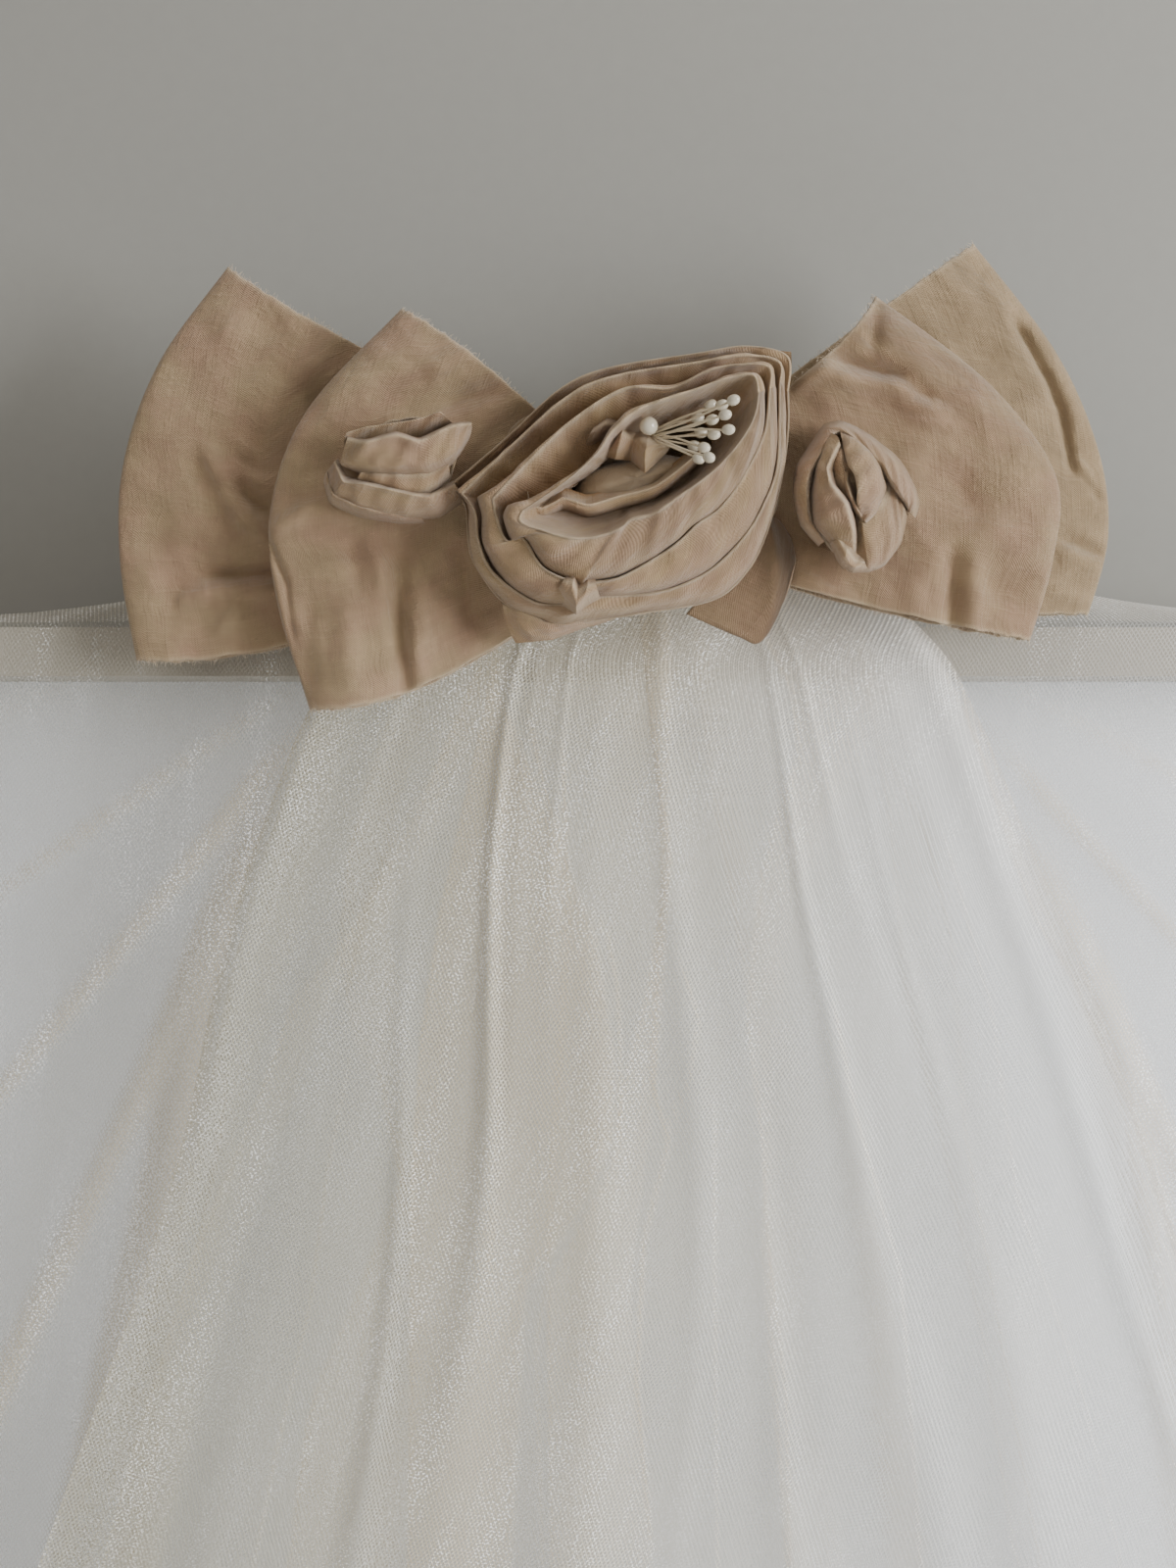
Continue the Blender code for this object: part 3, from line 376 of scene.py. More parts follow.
BUD_FOLDS = {
    "bud_left": {
        "leaf": (
            ((-86, 48.6, -93), (-80, 46.6, -94), (-70, 46, -95), (-61, 46.2, -95), (-53.4, 50, -94),
             (-48.6, 57, -93)),
            ((-87.6, 50, -96), (-80.5, 49, -99), (-71, 49.4, -101.5), (-61.5, 50, -101),
             (-53, 53.4, -99.5), (-47.8, 59.6, -96)),
            ((-87.2, 53.4, -98), (-80.4, 53.6, -101.5), (-71, 55.6, -102.5), (-62.8, 54, -102.4),
             (-53.6, 58.2, -100.8), (-47.6, 61, -97.4)),
            ((-85.8, 57.6, -99), (-80.4, 56.7, -102.8), (-71, 59.1, -104.2), (-63.7, 57.1, -103.4),
             (-54, 61.6, -102.4), (-47.6, 62.4, -98.4)),
            ((-85.4, 58.6, -95), (-80.2, 57.6, -98), (-71, 60, -99), (-63.6, 58.2, -98.4),
             (-54, 62.4, -97.6), (-48, 63, -95.4)),
        ),
        "back_lip": (
            ((-86.8, 52, -91), (-80, 54, -92), (-72, 55, -92), (-64, 56, -92), (-57, 60, -92),
             (-52, 60, -91)),
            ((-86.6, 57, -96.5), (-80, 59, -96), (-72, 60, -96), (-64, 61, -96.4), (-57, 63.4, -97),
             (-52.4, 61, -95)),
            ((-85.8, 59.6, -98), (-80, 61.3, -98), (-72, 62.5, -97.6), (-64, 63.8, -98),
             (-57.4, 66, -98.6), (-53.8, 62.6, -97)),
            ((-84.6, 59, -94), (-79.4, 60.2, -94), (-71.6, 61.4, -94), (-64, 62.4, -94),
             (-58, 64.6, -94.6), (-55.4, 62, -94)),
        ),
        "under_leaf": (
            ((-83, 44, -90), (-75, 41.5, -91), (-68, 39.6, -91), (-60.6, 40, -91), (-54, 46, -90)),
            ((-82.6, 45.6, -95), (-75.4, 44, -97), (-68.4, 42.2, -97.6), (-61, 42.6, -97),
             (-54.4, 48, -95)),
            ((-81.6, 47.4, -95.4), (-75, 46.8, -97.4), (-68, 46.6, -97.8), (-61, 46.8, -97.2),
             (-54.6, 50, -95)),
            ((-80, 49.4, -92), (-74, 49.4, -93), (-68, 49.2, -93), (-61, 49.2, -93), (-55, 51.4, -92)),
        ),
        "crescent": (
            ((-92, 47, -84), (-90.6, 38.6, -85), (-80, 34.2, -86), (-68.8, 32.6, -86), (-57.6, 33.4, -85),
             (-50.6, 38, -84)),
            ((-92, 48, -89), (-89.6, 40.6, -92), (-80, 36.6, -94), (-68, 34.6, -94.4), (-57.8, 35.4, -93),
             (-50.8, 39.6, -88.6)),
            ((-90.6, 49.6, -92), (-87.6, 43.6, -96), (-80, 42, -98), (-66.4, 39.2, -98.6),
             (-59.4, 38.4, -97), (-51.8, 42, -90.6)),
            ((-89.4, 51, -93), (-86.8, 44.8, -97), (-80, 43.9, -99), (-66, 40.8, -99.4),
             (-60.4, 40.4, -97.6), (-52.6, 43.6, -91)),
            ((-88.4, 51.4, -89), (-85.6, 46.4, -91), (-79.4, 45.2, -92), (-66, 42.2, -92),
             (-60, 41.8, -91), (-53, 45, -88)),
        ),
        "crescent_lip": (
            ((-93, 44, -84), (-90.8, 37.6, -84.6), (-82, 33.6, -85.4), (-70, 31.6, -85),
             (-62, 31.8, -84)),
            ((-92.8, 46, -88), (-90.4, 39.6, -91.6), (-82, 35.8, -93), (-71, 33.4, -92),
             (-62.4, 32.8, -88)),
            ((-92, 47.4, -89), (-89.8, 40.8, -92.8), (-81.8, 37, -94.2), (-71, 34.6, -93.2),
             (-62.6, 33.6, -88.6)),
            ((-91, 48, -86), (-88.8, 42, -88), (-81.4, 38, -89), (-71, 35.4, -89), (-63, 34.2, -86)),
        ),
    },
    "bud_right": {
        "left_petal": (
            ((60.4, 59, -90), (57.4, 49, -91), (56.2, 40.6, -92), (57, 31.6, -92), (61.6, 26, -92),
             (66, 17.4, -89)),
            ((62, 59.6, -94), (58.6, 49.6, -97), (58, 40.6, -98.6), (59.6, 32.6, -99),
             (63.6, 26.6, -97.6), (67, 18.4, -92)),
            ((64.4, 58.4, -97), (60.6, 49.6, -99), (61, 42, -101.4), (64.6, 35.6, -102.4),
             (67.4, 28.4, -101), (68.6, 19.6, -94.4)),
            ((65.2, 56.4, -97.4), (61.4, 48.8, -99.6), (62.8, 43.7, -101.8), (67.1, 37.9, -103),
             (69.4, 30, -101.6), (69.6, 20.6, -95)),
            ((65.8, 54.4, -93), (63, 48.2, -95), (64.6, 43, -96), (68.4, 38, -97), (70.2, 30, -96),
             (70.2, 22, -92)),
        ),
        "right_petal": (
            ((64.8, 61, -90), (71.6, 57.2, -91), (76.8, 51.8, -92), (79.4, 43, -92.6), (77, 35, -92),
             (73.4, 31.4, -91)),
            ((65.2, 60.2, -94), (71, 56.2, -97), (75.4, 51, -99), (77.8, 43, -100), (75.8, 36, -99),
             (73, 32, -96)),
            ((65.8, 57.6, -96), (69.4, 53.6, -99), (72.4, 49.4, -101), (74, 43.4, -102), (73, 37.6, -101),
             (71.8, 33.6, -97.4)),
            ((66.2, 54.8, -96), (67.6, 50, -99), (69.6, 46.8, -101), (70.4, 42.6, -102),
             (70.3, 38.4, -101.4), (71, 34.6, -97.6)),
            ((66.8, 53, -92), (68.2, 48.8, -94), (70.4, 45.8, -95), (71.2, 42, -95), (71.2, 38.2, -95),
             (71.6, 35, -93)),
        ),
        "leaf": (
            ((65.6, 48, -92), (65.8, 44, -93), (67, 40, -93.6), (69.4, 35.6, -93), (71.6, 32.4, -92)),
            ((66.4, 48, -96), (66.6, 44, -98.6), (67.8, 40, -99.6), (70, 35.8, -99), (72, 32.6, -95.4)),
            ((67.4, 47.6, -97), (67.6, 44, -99.6), (68.6, 40.6, -100.6), (70.6, 36.6, -100),
             (72.6, 33.2, -96)),
            ((69.2, 46.8, -93), (69.2, 43.4, -95), (70, 40, -96), (71.4, 36.4, -96), (73, 33.4, -93)),
        ),
        "inside": (
            ((60.5, 55, -91), (65, 57, -94), (71.5, 53, -91)),
            ((60.5, 51, -92), (65.6, 51.5, -97), (72.5, 49, -92)),
            ((61.5, 45, -92), (66.6, 45, -97.4), (73.5, 44, -92)),
            ((63.5, 38, -92), (68, 37.5, -96), (74, 37, -92)),
        ),
        "wrap_band": (
            ((58.6, 24.6, -84), (53, 31, -84.6), (50.6, 41, -85), (51.6, 49.4, -85), (55.6, 55.6, -85),
             (60, 62, -84.6), (65, 63.4, -84.6), (71, 61, -85), (77, 57, -85), (83.6, 51.4, -85),
             (88, 43.6, -84.6), (89.6, 38, -84), (88.4, 33.4, -83)),
            ((59.2, 25.4, -88), (53.8, 31.6, -91), (51.6, 41, -93), (52.8, 48.8, -93),
             (56.8, 54.6, -92.6),
             (60.6, 60.8, -92), (65, 62.2, -92), (70.4, 60, -92.6), (76, 56, -93), (82, 50.4, -93),
             (86.4, 43.4, -92), (88.2, 38.2, -90), (87.4, 34.2, -87)),
            ((60.2, 26, -89.6), (55.4, 32.2, -94), (54, 41, -96), (55, 48, -96), (58.4, 53.4, -95.4),
             (61.6, 59.4, -94.4), (65, 60.8, -94), (69.4, 58.8, -94.4), (74.4, 54.8, -95),
             (79.4, 49.4, -95), (83.4, 42.8, -94.6), (86.4, 37.8, -92), (86.4, 35, -88.4)),
            ((60.8, 26.6, -89), (56.4, 32.8, -93), (55.3, 41, -95.4), (56.2, 47.4, -95.4),
             (59.2, 52.6, -95),
             (62.2, 58.6, -94), (65, 59.8, -93.6), (68.8, 58, -94), (73.6, 54, -94.4),
             (78.2, 48.8, -94.4), (82.2, 42.4, -94), (85.6, 37.4, -91.4), (86, 35.2, -88)),
            ((61.4, 27.6, -86), (57.6, 33.4, -88), (56.8, 41, -89), (57.6, 46.8, -89), (60.4, 51.6, -89),
             (63, 57, -89), (65.4, 58, -89), (68.2, 56.6, -89), (72.8, 52.6, -89), (77, 47.8, -89),
             (81, 42, -88.6), (84.4, 37.4, -87), (85.2, 35.8, -86)),
        ),
        "back_petal": (
            ((69, 16.6, -85), (74, 16.8, -85.4), (79, 19, -85.6), (84, 26, -86), (86, 35, -86)),
            ((69.4, 18.4, -90), (74, 18.4, -92), (79, 21, -92), (83, 27.6, -92), (85, 36.4, -90)),
            ((69.6, 26, -91.6), (72.6, 26, -94.6), (76.6, 28, -95), (80.6, 33, -94), (83, 40, -90.6)),
            ((69.8, 33, -92.4), (72, 33, -95), (75, 35, -95), (78.6, 39, -93.6), (80.6, 44, -90.4)),
            ((70.2, 37, -91), (72.6, 37.4, -92.6), (75, 39.6, -92), (77.6, 43, -91), (79, 47, -89)),
        ),
        "tip": (
            ((62, 25.6, -93), (65, 19, -93), (69, 16.6, -93), (74, 17.4, -91)),
            ((63, 26.4, -97.6), (66.2, 21, -99.6), (69.4, 18.4, -98), (73.4, 18.6, -95)),
            ((65, 27, -99), (67.4, 23.6, -100.6), (70, 20.4, -97.4), (72.8, 19.8, -95)),
            ((67, 27.4, -96), (69, 25, -96.6), (70.6, 22.4, -94.4), (72.4, 21, -92)),
        ),
    },
}

# Stamens: x, z and depth of each head
STAMEN_ROOT = (6.6, 58.5, -101.0)
STAMEN_HEADS = (
    (25.5, 68.0, -105.0), (21.5, 64.0, -105.0), (22.5, 59.5, -105.0), (20.5, 55.5, -105.0),
    (29.0, 68.0, -111.0), (26.0, 63.5, -111.0), (26.5, 59.0, -111.0), (23.5, 55.0, -111.0),
    (32.5, 69.5, -117.0), (30.0, 65.0, -117.0), (31.0, 60.5, -117.0), (25.0, 52.0, -117.0),
    (21.8, 51.6, -110.0),
)
HEAD_WIDTH, HEAD_LENGTH = 3.1, 4.0
HEAD_INSET = 1.6
STEM_RADIUS = 0.32
# The pearl's place and the way its own axis points
PEARL = (6.6, 61.6, -106.0)
PEARL_WAY = (0.3, -0.9, 0.3)
PEARL_SIZE = 5.2


# Curves and surfaces

def place(x, z, depth):
    """Points of the front view's layout, carried along their lines of sight to a depth."""
    near = 1.0 + (depth - RAIL_FRONT) / EYE_AWAY
    real_x = EYE_X + (x - EYE_X) * near
    real_z = EYE_Z + (z - EYE_Z) * near + RAIL_TOP
    return np.stack(np.broadcast_arrays(real_x, depth, real_z), axis=-1).astype(float)


def spline(values, shares):
    """A smooth curve through evenly spaced values, read at shares from 0 to 1."""
    values = np.asarray(values, float)
    at = np.clip(np.asarray(shares, float), 0.0, 1.0) * (len(values) - 1)
    i = np.minimum(at.astype(int), len(values) - 2)
    t = at - i
    t = t.reshape(t.shape + (1,) * (values.ndim - 1))
    before = values[np.maximum(i - 1, 0)]
    start, end = values[i], values[i + 1]
    after = values[np.minimum(i + 2, len(values) - 1)]
    bend = 2 * before - 5 * start + 4 * end - after
    turn = 3 * (start - end) + after - before
    return start + 0.5 * t * ((end - before) + t * (bend + t * turn))


def ring_spline(values, turns):
    """The same round a closed ring, read at shares of a turn."""
    n = len(values)
    looped = np.array([values[(i - 2) % n] for i in range(n + 5)], float)
    return spline(looped, ((np.asarray(turns, float) % 1.0) * n + 2) / (n + 4))


def ease(t):
    """A smooth step from 0 to 1."""
    t = np.clip(t, 0.0, 1.0)
    return t * t * (3 - 2 * t)


def grid_normals(grid, closed):
    """The unit normal at each point of a grid of rows and columns."""
    if closed:
        across = np.roll(grid, -1, axis=1) - np.roll(grid, 1, axis=1)
    else:
        across = np.gradient(grid, axis=1)
    along = np.gradient(grid, axis=0)
    normal = np.cross(across, along)
    return normal / np.maximum(np.linalg.norm(normal, axis=2, keepdims=True), 1e-9)


def ripple(u, v, seed):
    """Soft uneven waves, about -1 to 1, over two directions measured in millimetres."""
    a = np.sin(u / 7.3 + 1.7 * np.sin(v / 11.0 + seed) + seed * 2.1)
    b = np.sin(v / 9.1 + 1.3 * np.sin(u / 13.0 - seed) + seed * 1.3)
    c = np.sin((u + v) / 4.3 + 2.0 * np.sin((u - v) / 17.0 + seed * 0.7))
    return 0.45 * a + 0.35 * b + 0.2 * c


def crease_lift(x, z, creases):
    """How far a table of creases lifts points of the layout; a trough has a negative height."""
    lift = np.zeros(np.broadcast(x, z).shape)
    for x1, z1, x2, z2, width, height in creases:
        run_x, run_z = x2 - x1, z2 - z1
        length = math.hypot(run_x, run_z)
        t = ((x - x1) * run_x + (z - z1) * run_z) / length**2
        off = ((x - x1) * run_z - (z - z1) * run_x) / length
        ends = ease((t + 0.25) / 0.5) * ease((1.25 - t) / 0.5)
        sway = off + 0.12 * width * np.sin(t * 5.0 + x1)
        lift += height * ends * np.exp(-((sway / width) ** 2))
    return lift


def lengths(grid, closed=False):
    """Running length along a grid's rows and along its columns."""
    rows = np.linalg.norm(np.diff(grid, axis=1, append=grid[:, :1] if closed else grid[:, -1:]), axis=2)
    u = np.concatenate([np.zeros((len(grid), 1)), np.cumsum(rows, axis=1)], axis=1)
    u = u if closed else u[:, :-1]
    columns = np.linalg.norm(np.diff(grid, axis=0), axis=2)
    v = np.concatenate([np.zeros((1, grid.shape[1])), np.cumsum(columns, axis=0)], axis=0)
    return u, v


def in_scene(name, data):
    """A new object in the scene."""
    piece = bpy.data.objects.new(name, data)
    bpy.context.scene.collection.objects.link(piece)
    return piece


def cloth(name, grid, made, closed=False, values=None, thick=0.0, shift=0.0, ends=False):
    """A smooth cloth object from a grid in millimetres, with a UV map of its lengths in millimetres.

    With ends, a closed grid's first and last rings are filled.
    """
    rows, columns = grid.shape[:2]
    u, v = lengths(grid, closed)
    last = columns if closed else columns - 1
    faces, spots = [], []
    for r in range(rows - 1):
        for c in range(last):
            d = (c + 1) % columns
            faces.append((r * columns + c, r * columns + d, (r + 1) * columns + d, (r + 1) * columns + c))
            spots += [(u[r, c], v[r, c]), (u[r, c + 1], v[r, d]),
                      (u[r + 1, c + 1], v[r + 1, d]), (u[r + 1, c], v[r + 1, c])]
    if ends:
        for ring in (range(columns - 1, -1, -1), range((rows - 1) * columns, rows * columns)):
            faces.append(tuple(ring))
            spots += [(u[k // columns, k % columns], v[k // columns, k % columns]) for k in ring]
    mesh = bpy.data.meshes.new(name)
    mesh.from_pydata((grid.reshape(-1, 3) * MM).tolist(), [], faces)
    mesh.uv_layers.new(name="cloth")
    flat = np.array(spots, np.float32) + np.float32(shift)
    mesh.uv_layers["cloth"].data.foreach_set("uv", flat.ravel())
    for key, value in (values or {}).items():
        mesh.attributes.new(key, "FLOAT", "POINT")
        mesh.attributes[key].data.foreach_set("value", np.asarray(value, np.float32).ravel())
    mesh.shade_smooth()
    mesh.materials.append(made)
    piece = in_scene(name, mesh)
    if thick:
        wall = piece.modifiers.new("cloth thickness", "SOLIDIFY")
        wall.thickness = thick * MM
        wall.offset = 0.0
    return piece


def dress(piece, slot_name, *nodes):
    """The piece stands for these nodes and rides with the rail."""
    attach(piece, "root")
    if nodes:
        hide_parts(*nodes)
    return piece


def dress_sheet(piece, grid, slot_name, held, rests_on, *nodes, closed=False):
    """Dresses a piece that is one sheet of cloth."""
    dress(piece, slot_name, *nodes)


# Node trees

def node(tree, kind, links=None, **settings):
    """A node with its settings, and its inputs linked or set by name or number."""
    made = tree.nodes.new(kind)
    for key, value in settings.items():
        setattr(made, key, value)
    for socket, source in (links or {}).items():
        target = made.inputs[socket]
        if isinstance(source, bpy.types.NodeSocket):
            tree.links.new(source, target)
        else:
            target.default_value = source
    return made


def calc(tree, operation, a, b=0.0, c=0.0):
    """The output of one Math node."""
    return node(tree, "ShaderNodeMath", {0: a, 1: b, 2: c}, operation=operation).outputs[0]


def between(tree, value, low, high, to_low=0.0, to_high=1.0):
    """A value carried from one range to another, and kept inside it."""
    made = node(tree, "ShaderNodeMapRange", {
        "Value": value, "From Min": low, "From Max": high, "To Min": to_low, "To Max": to_high})
    return made.outputs["Result"]


def blended(tree, share, a, b, mode="MIX"):
    """Two colours mixed by a share."""
    made = node(tree, "ShaderNodeMix", {"Factor": share, 6: a, 7: b}, data_type="RGBA", blend_type=mode)
    return made.outputs[2]


def dimmed(tree, colour, share):
    """A colour made darker or lighter by a share."""
    grey = node(tree, "ShaderNodeCombineColor", {0: share, 1: share, 2: share})
    return blended(tree, 1.0, colour, grey.outputs[0], "MULTIPLY")


def noise(tree, vector, scale, detail=2.0, rough=0.5, stretch=None):
    """The value of a Noise Texture, on a vector that may be scaled along its axes."""
    if stretch:
        scaled = node(tree, "ShaderNodeVectorMath", {0: vector, 1: stretch}, operation="MULTIPLY")
        vector = scaled.outputs[0]
    made = node(tree, "ShaderNodeTexNoise", {
        "Vector": vector, "Scale": scale, "Detail": detail, "Roughness": rough})
    return made.outputs[0]


def group_tree(name, inputs, outputs):
    """A shader node group with named sockets: the tree, its input node and its output node."""
    tree = bpy.data.node_groups.new(name, "ShaderNodeTree")
    for label, kind, default in inputs:
        socket = tree.interface.new_socket(name=label, in_out="INPUT", socket_type=kind)
        if default is not None:
            socket.default_value = default
    for label, kind in outputs:
        tree.interface.new_socket(name=label, in_out="OUTPUT", socket_type=kind)
    return tree, tree.nodes.new("NodeGroupInput"), tree.nodes.new("NodeGroupOutput")


def raw_silk_group():
    """Mottled colour, slubs and weave of raw silk, on a UV map in millimetres."""
    tree, given, out = group_tree("Raw silk", (
        ("Vector", "NodeSocketVector", None),
        ("Colour", "NodeSocketColor", (0.5, 0.4, 0.3, 1)),
        ("Tint", "NodeSocketColor", (0.5, 0.35, 0.3, 1)),
        ("Slubs", "NodeSocketFloat", 1.0),
    ), (("Colour", "NodeSocketColor"), ("Height", "NodeSocketFloat"), ("Roughness", "NodeSocketFloat")))
    vector = given.outputs["Vector"]
    mottle = between(tree, noise(tree, vector, 0.055, 3.0, 0.6), 0.38, 0.64)
    patch = between(tree, noise(tree, vector, 0.17, stretch=(0.4, 1.0, 1.0)), 0.42, 0.66)
    weft = between(tree, noise(tree, vector, 1.0, 2.0, 0.6, (0.045, 0.95, 1.0)), 0.5, 0.72)
    warp = between(tree, noise(tree, vector, 1.0, 1.0, stretch=(1.3, 0.06, 1.0)), 0.45, 0.7)
    parts = node(tree, "ShaderNodeSeparateXYZ", {0: vector})
    thread_u = calc(tree, "SINE", calc(tree, "MULTIPLY", parts.outputs[0], 2 * math.pi / 0.75))
    thread_v = calc(tree, "SINE", calc(tree, "MULTIPLY", parts.outputs[1], 2 * math.pi / 0.62))
    weave = calc(tree, "MULTIPLY", thread_u, thread_v)
    speck = between(tree, noise(tree, vector, 0.9, 1.0), 0.70, 0.76)
    pale = between(tree, noise(tree, vector, 0.8, 1.0, stretch=(0.5, 1.4, 1.0)), 0.66, 0.74)
    colour = blended(tree, mottle, given.outputs["Colour"], given.outputs["Tint"])
    lift = calc(tree, "MULTIPLY_ADD", weft, 0.045, 0.96)
    for pattern, amount in ((warp, -0.05), (patch, 0.09), (weave, 0.025), (pale, 0.16), (speck, -0.18)):
        lift = calc(tree, "MULTIPLY_ADD", pattern, amount, lift)
    colour = dimmed(tree, colour, lift)
    soft = noise(tree, vector, 0.30, 3.0)
    slubs = calc(tree, "MULTIPLY", calc(tree, "MULTIPLY", weft, given.outputs["Slubs"]), 0.45)
    height = slubs
    for pattern, amount in ((weave, 0.30), (warp, 0.3), (soft, 2.4)):
        height = calc(tree, "MULTIPLY_ADD", pattern, amount, height)
    rough = between(tree, weft, 0.0, 1.0, 0.66, 0.52)
    tree.links.new(colour, out.inputs["Colour"])
    tree.links.new(height, out.inputs["Height"])
    tree.links.new(rough, out.inputs["Roughness"])
    return tree


def net_group():
    """The threads and glints of a fine net of diamond cells, on a UV map in millimetres."""
    tree, given, out = group_tree("Fine net", (
        ("Vector", "NodeSocketVector", None),
        ("Cell", "NodeSocketFloat", 1.05),
    ), (("Threads", "NodeSocketFloat"), ("Glints", "NodeSocketFloat"), ("Clouds", "NodeSocketFloat")))
    vector = given.outputs["Vector"]
    parts = node(tree, "ShaderNodeSeparateXYZ", {0: vector})
    u = calc(tree, "DIVIDE", parts.outputs[0], given.outputs["Cell"])
    v = calc(tree, "DIVIDE", parts.outputs[1], calc(tree, "MULTIPLY", given.outputs["Cell"], 1.5))
    lines = []
    for operation in ("ADD", "SUBTRACT"):
        turned = calc(tree, "FRACT", calc(tree, operation, u, v))
        off = calc(tree, "ABSOLUTE", calc(tree, "SUBTRACT", turned, 0.5))
        lines.append(between(tree, off, 0.24, 0.44))
    threads = calc(tree, "MAXIMUM", lines[0], lines[1])
    patch = between(tree, noise(tree, vector, 0.10, stretch=(1.0, 0.15, 1.0)), 0.42, 0.68)
    # Glints: small spots along the threads, which the tulle paints as highlights
    glint = between(tree, noise(tree, vector, 1.55, 1.0, stretch=(0.7, 1.2, 1.0)), 0.52, 0.61)
    glint = calc(tree, "MULTIPLY", glint, calc(tree, "MULTIPLY_ADD", patch, 0.8, 0.2))
    clouds = noise(tree, vector, 0.03, 3.0, stretch=(1.0, 0.25, 1.0))
    tree.links.new(threads, out.inputs["Threads"])
    tree.links.new(calc(tree, "MULTIPLY", glint, threads), out.inputs["Glints"])
    tree.links.new(clouds, out.inputs["Clouds"])
    return tree


def shared_group(name, build):
    """A node group that is built once."""
    return bpy.data.node_groups.get(name) or build()


def new_material(name, rough, sheen=0.0, sheen_rough=0.5):
    """A material with its Principled shader and its tree."""
    made = bpy.data.materials.new(name)
    made.use_nodes = True
    shader = made.node_tree.nodes["Principled BSDF"]
    shader.inputs["Roughness"].default_value = rough
    shader.inputs["Sheen Weight"].default_value = sheen
    shader.inputs["Sheen Roughness"].default_value = sheen_rough
    return made, made.node_tree, shader


def mottled(name, shine, scale, detail, dark, light, rough=None):
    """A plain material that clouds between two colours; shine holds its roughness and sheen."""
    made, tree, shader = new_material(name, *shine)
    where = node(tree, "ShaderNodeTexCoord")
    cloud = noise(tree, where.outputs["Object"], scale, detail)
    tree.links.new(blended(tree, cloud, (*dark, 1), (*light, 1)), shader.inputs["Base Color"])
    if rough:
        tree.links.new(between(tree, cloud, 0.3, 0.7, *rough), shader.inputs["Roughness"])
    return made, shader


def raw_silk(name, colour, tint, slubs=1.0, rise=0.35):
    """Raw silk cloth."""
    made = bpy.data.materials.get(name)
    if made:
        return made
    made, tree, shader = new_material(name, 0.6, 0.35, 0.4)
    shader.inputs["Specular IOR Level"].default_value = 0.35
    where = node(tree, "ShaderNodeUVMap", uv_map="cloth")
    silk = node(tree, "ShaderNodeGroup", node_tree=shared_group("Raw silk", raw_silk_group))
    tree.links.new(where.outputs[0], silk.inputs["Vector"])
    silk.inputs["Colour"].default_value = (*colour, 1)
    silk.inputs["Tint"].default_value = (*tint, 1)
    silk.inputs["Slubs"].default_value = slubs
    lip = node(tree, "ShaderNodeAttribute", attribute_name="lip").outputs["Fac"]
    # Near a lip the colour pales: partly the frayed edge, partly a painted highlight
    pale_edge_and_highlight = blended(tree, calc(tree, "MULTIPLY", lip, 0.6), silk.outputs["Colour"], (*LIP_PALE_AND_HIGHLIGHT, 1))
    # Where the cloth sinks into a valley the colour darkens to brown: painted shade
    painted_valley_shade = blended(tree, between(tree, lip, 0.0, -1.0, 0.0, 0.8), pale_edge_and_highlight, (*VALLEY_PAINTED_SHADE, 1))
    tree.links.new(painted_valley_shade, shader.inputs["Base Color"])
    tree.links.new(silk.outputs["Roughness"], shader.inputs["Roughness"])
    bump = node(tree, "ShaderNodeBump", {"Height": silk.outputs["Height"], "Distance": rise * MM,
                                         "Strength": 1.0})
    tree.links.new(bump.outputs[0], shader.inputs["Normal"])
    return made


def tulle(name, colours, cell, low, high):
    """Net cloth: how dense it looks follows how far the folds turn it and how tightly it is gathered."""
    made, tree, shader = new_material(name, 0.55, 0.4, 0.35)
    shader.inputs["Specular IOR Level"].default_value = 0.4
    where = node(tree, "ShaderNodeUVMap", uv_map="cloth")
    net = node(tree, "ShaderNodeGroup", node_tree=shared_group("Fine net", net_group))
    tree.links.new(where.outputs[0], net.inputs["Vector"])
    net.inputs["Cell"].default_value = cell
    dense = node(tree, "ShaderNodeAttribute", attribute_name="dense").outputs["Fac"]
    side = node(tree, "ShaderNodeAttribute", attribute_name="side").outputs["Fac"]
    cover = between(tree, net.outputs["Threads"], 0.0, 1.0, low, high)
    cover = calc(tree, "MULTIPLY", cover, between(tree, net.outputs["Clouds"], 0.3, 0.7, 0.9, 1.12))
    clear = calc(tree, "SUBTRACT", 1.0, cover)
    alpha = calc(tree, "SUBTRACT", 1.0, calc(tree, "POWER", clear, dense))
    # Painted glints also make the net more opaque where they fall
    alpha = calc(tree, "MAXIMUM", alpha, calc(tree, "MULTIPLY", net.outputs["Glints"], 0.6))
    tree.links.new(alpha, shader.inputs["Alpha"])
    # From left to right the colour goes from dark to near white, standing for the light from the right:
    # painted light and shade
    left, middle, right = colours
    colour = blended(tree, between(tree, side, -1.0, 0.0), (*left, 1), (*middle, 1))
    colour = blended(tree, between(tree, side, 0.0, 1.0), colour, (*right, 1))
    # Darker and warmer where the net is dense, as where it lies doubled and under the bow: painted shade
    painted_shade_where_dense = blended(tree, 1.0, colour, (0.84, 0.77, 0.68, 1), "MULTIPLY")
    colour = blended(tree, between(tree, dense, 0.9, 3.2), colour, painted_shade_where_dense)
    # Glints whiten the colour: painted highlights
    colour = blended(tree, net.outputs["Glints"], colour, (1.0, 1.0, 1.0, 1))
    tree.links.new(colour, shader.inputs["Base Color"])
    # Glints glow by emission, more where the net is dense: painted highlights
    shine = calc(tree, "MULTIPLY", net.outputs["Glints"], between(tree, dense, 0.7, 2.0, 0.25, 1.0))
    painted_glint_glow = blended(tree, shine, (0.0, 0.0, 0.0, 1), (1.0, 0.98, 0.94, 1))
    tree.links.new(painted_glint_glow, shader.inputs["Emission Color"])
    shader.inputs["Emission Strength"].default_value = 0.7
    tree.links.new(between(tree, net.outputs["Glints"], 0.0, 1.0, 0.6, 0.25), shader.inputs["Roughness"])
    return made


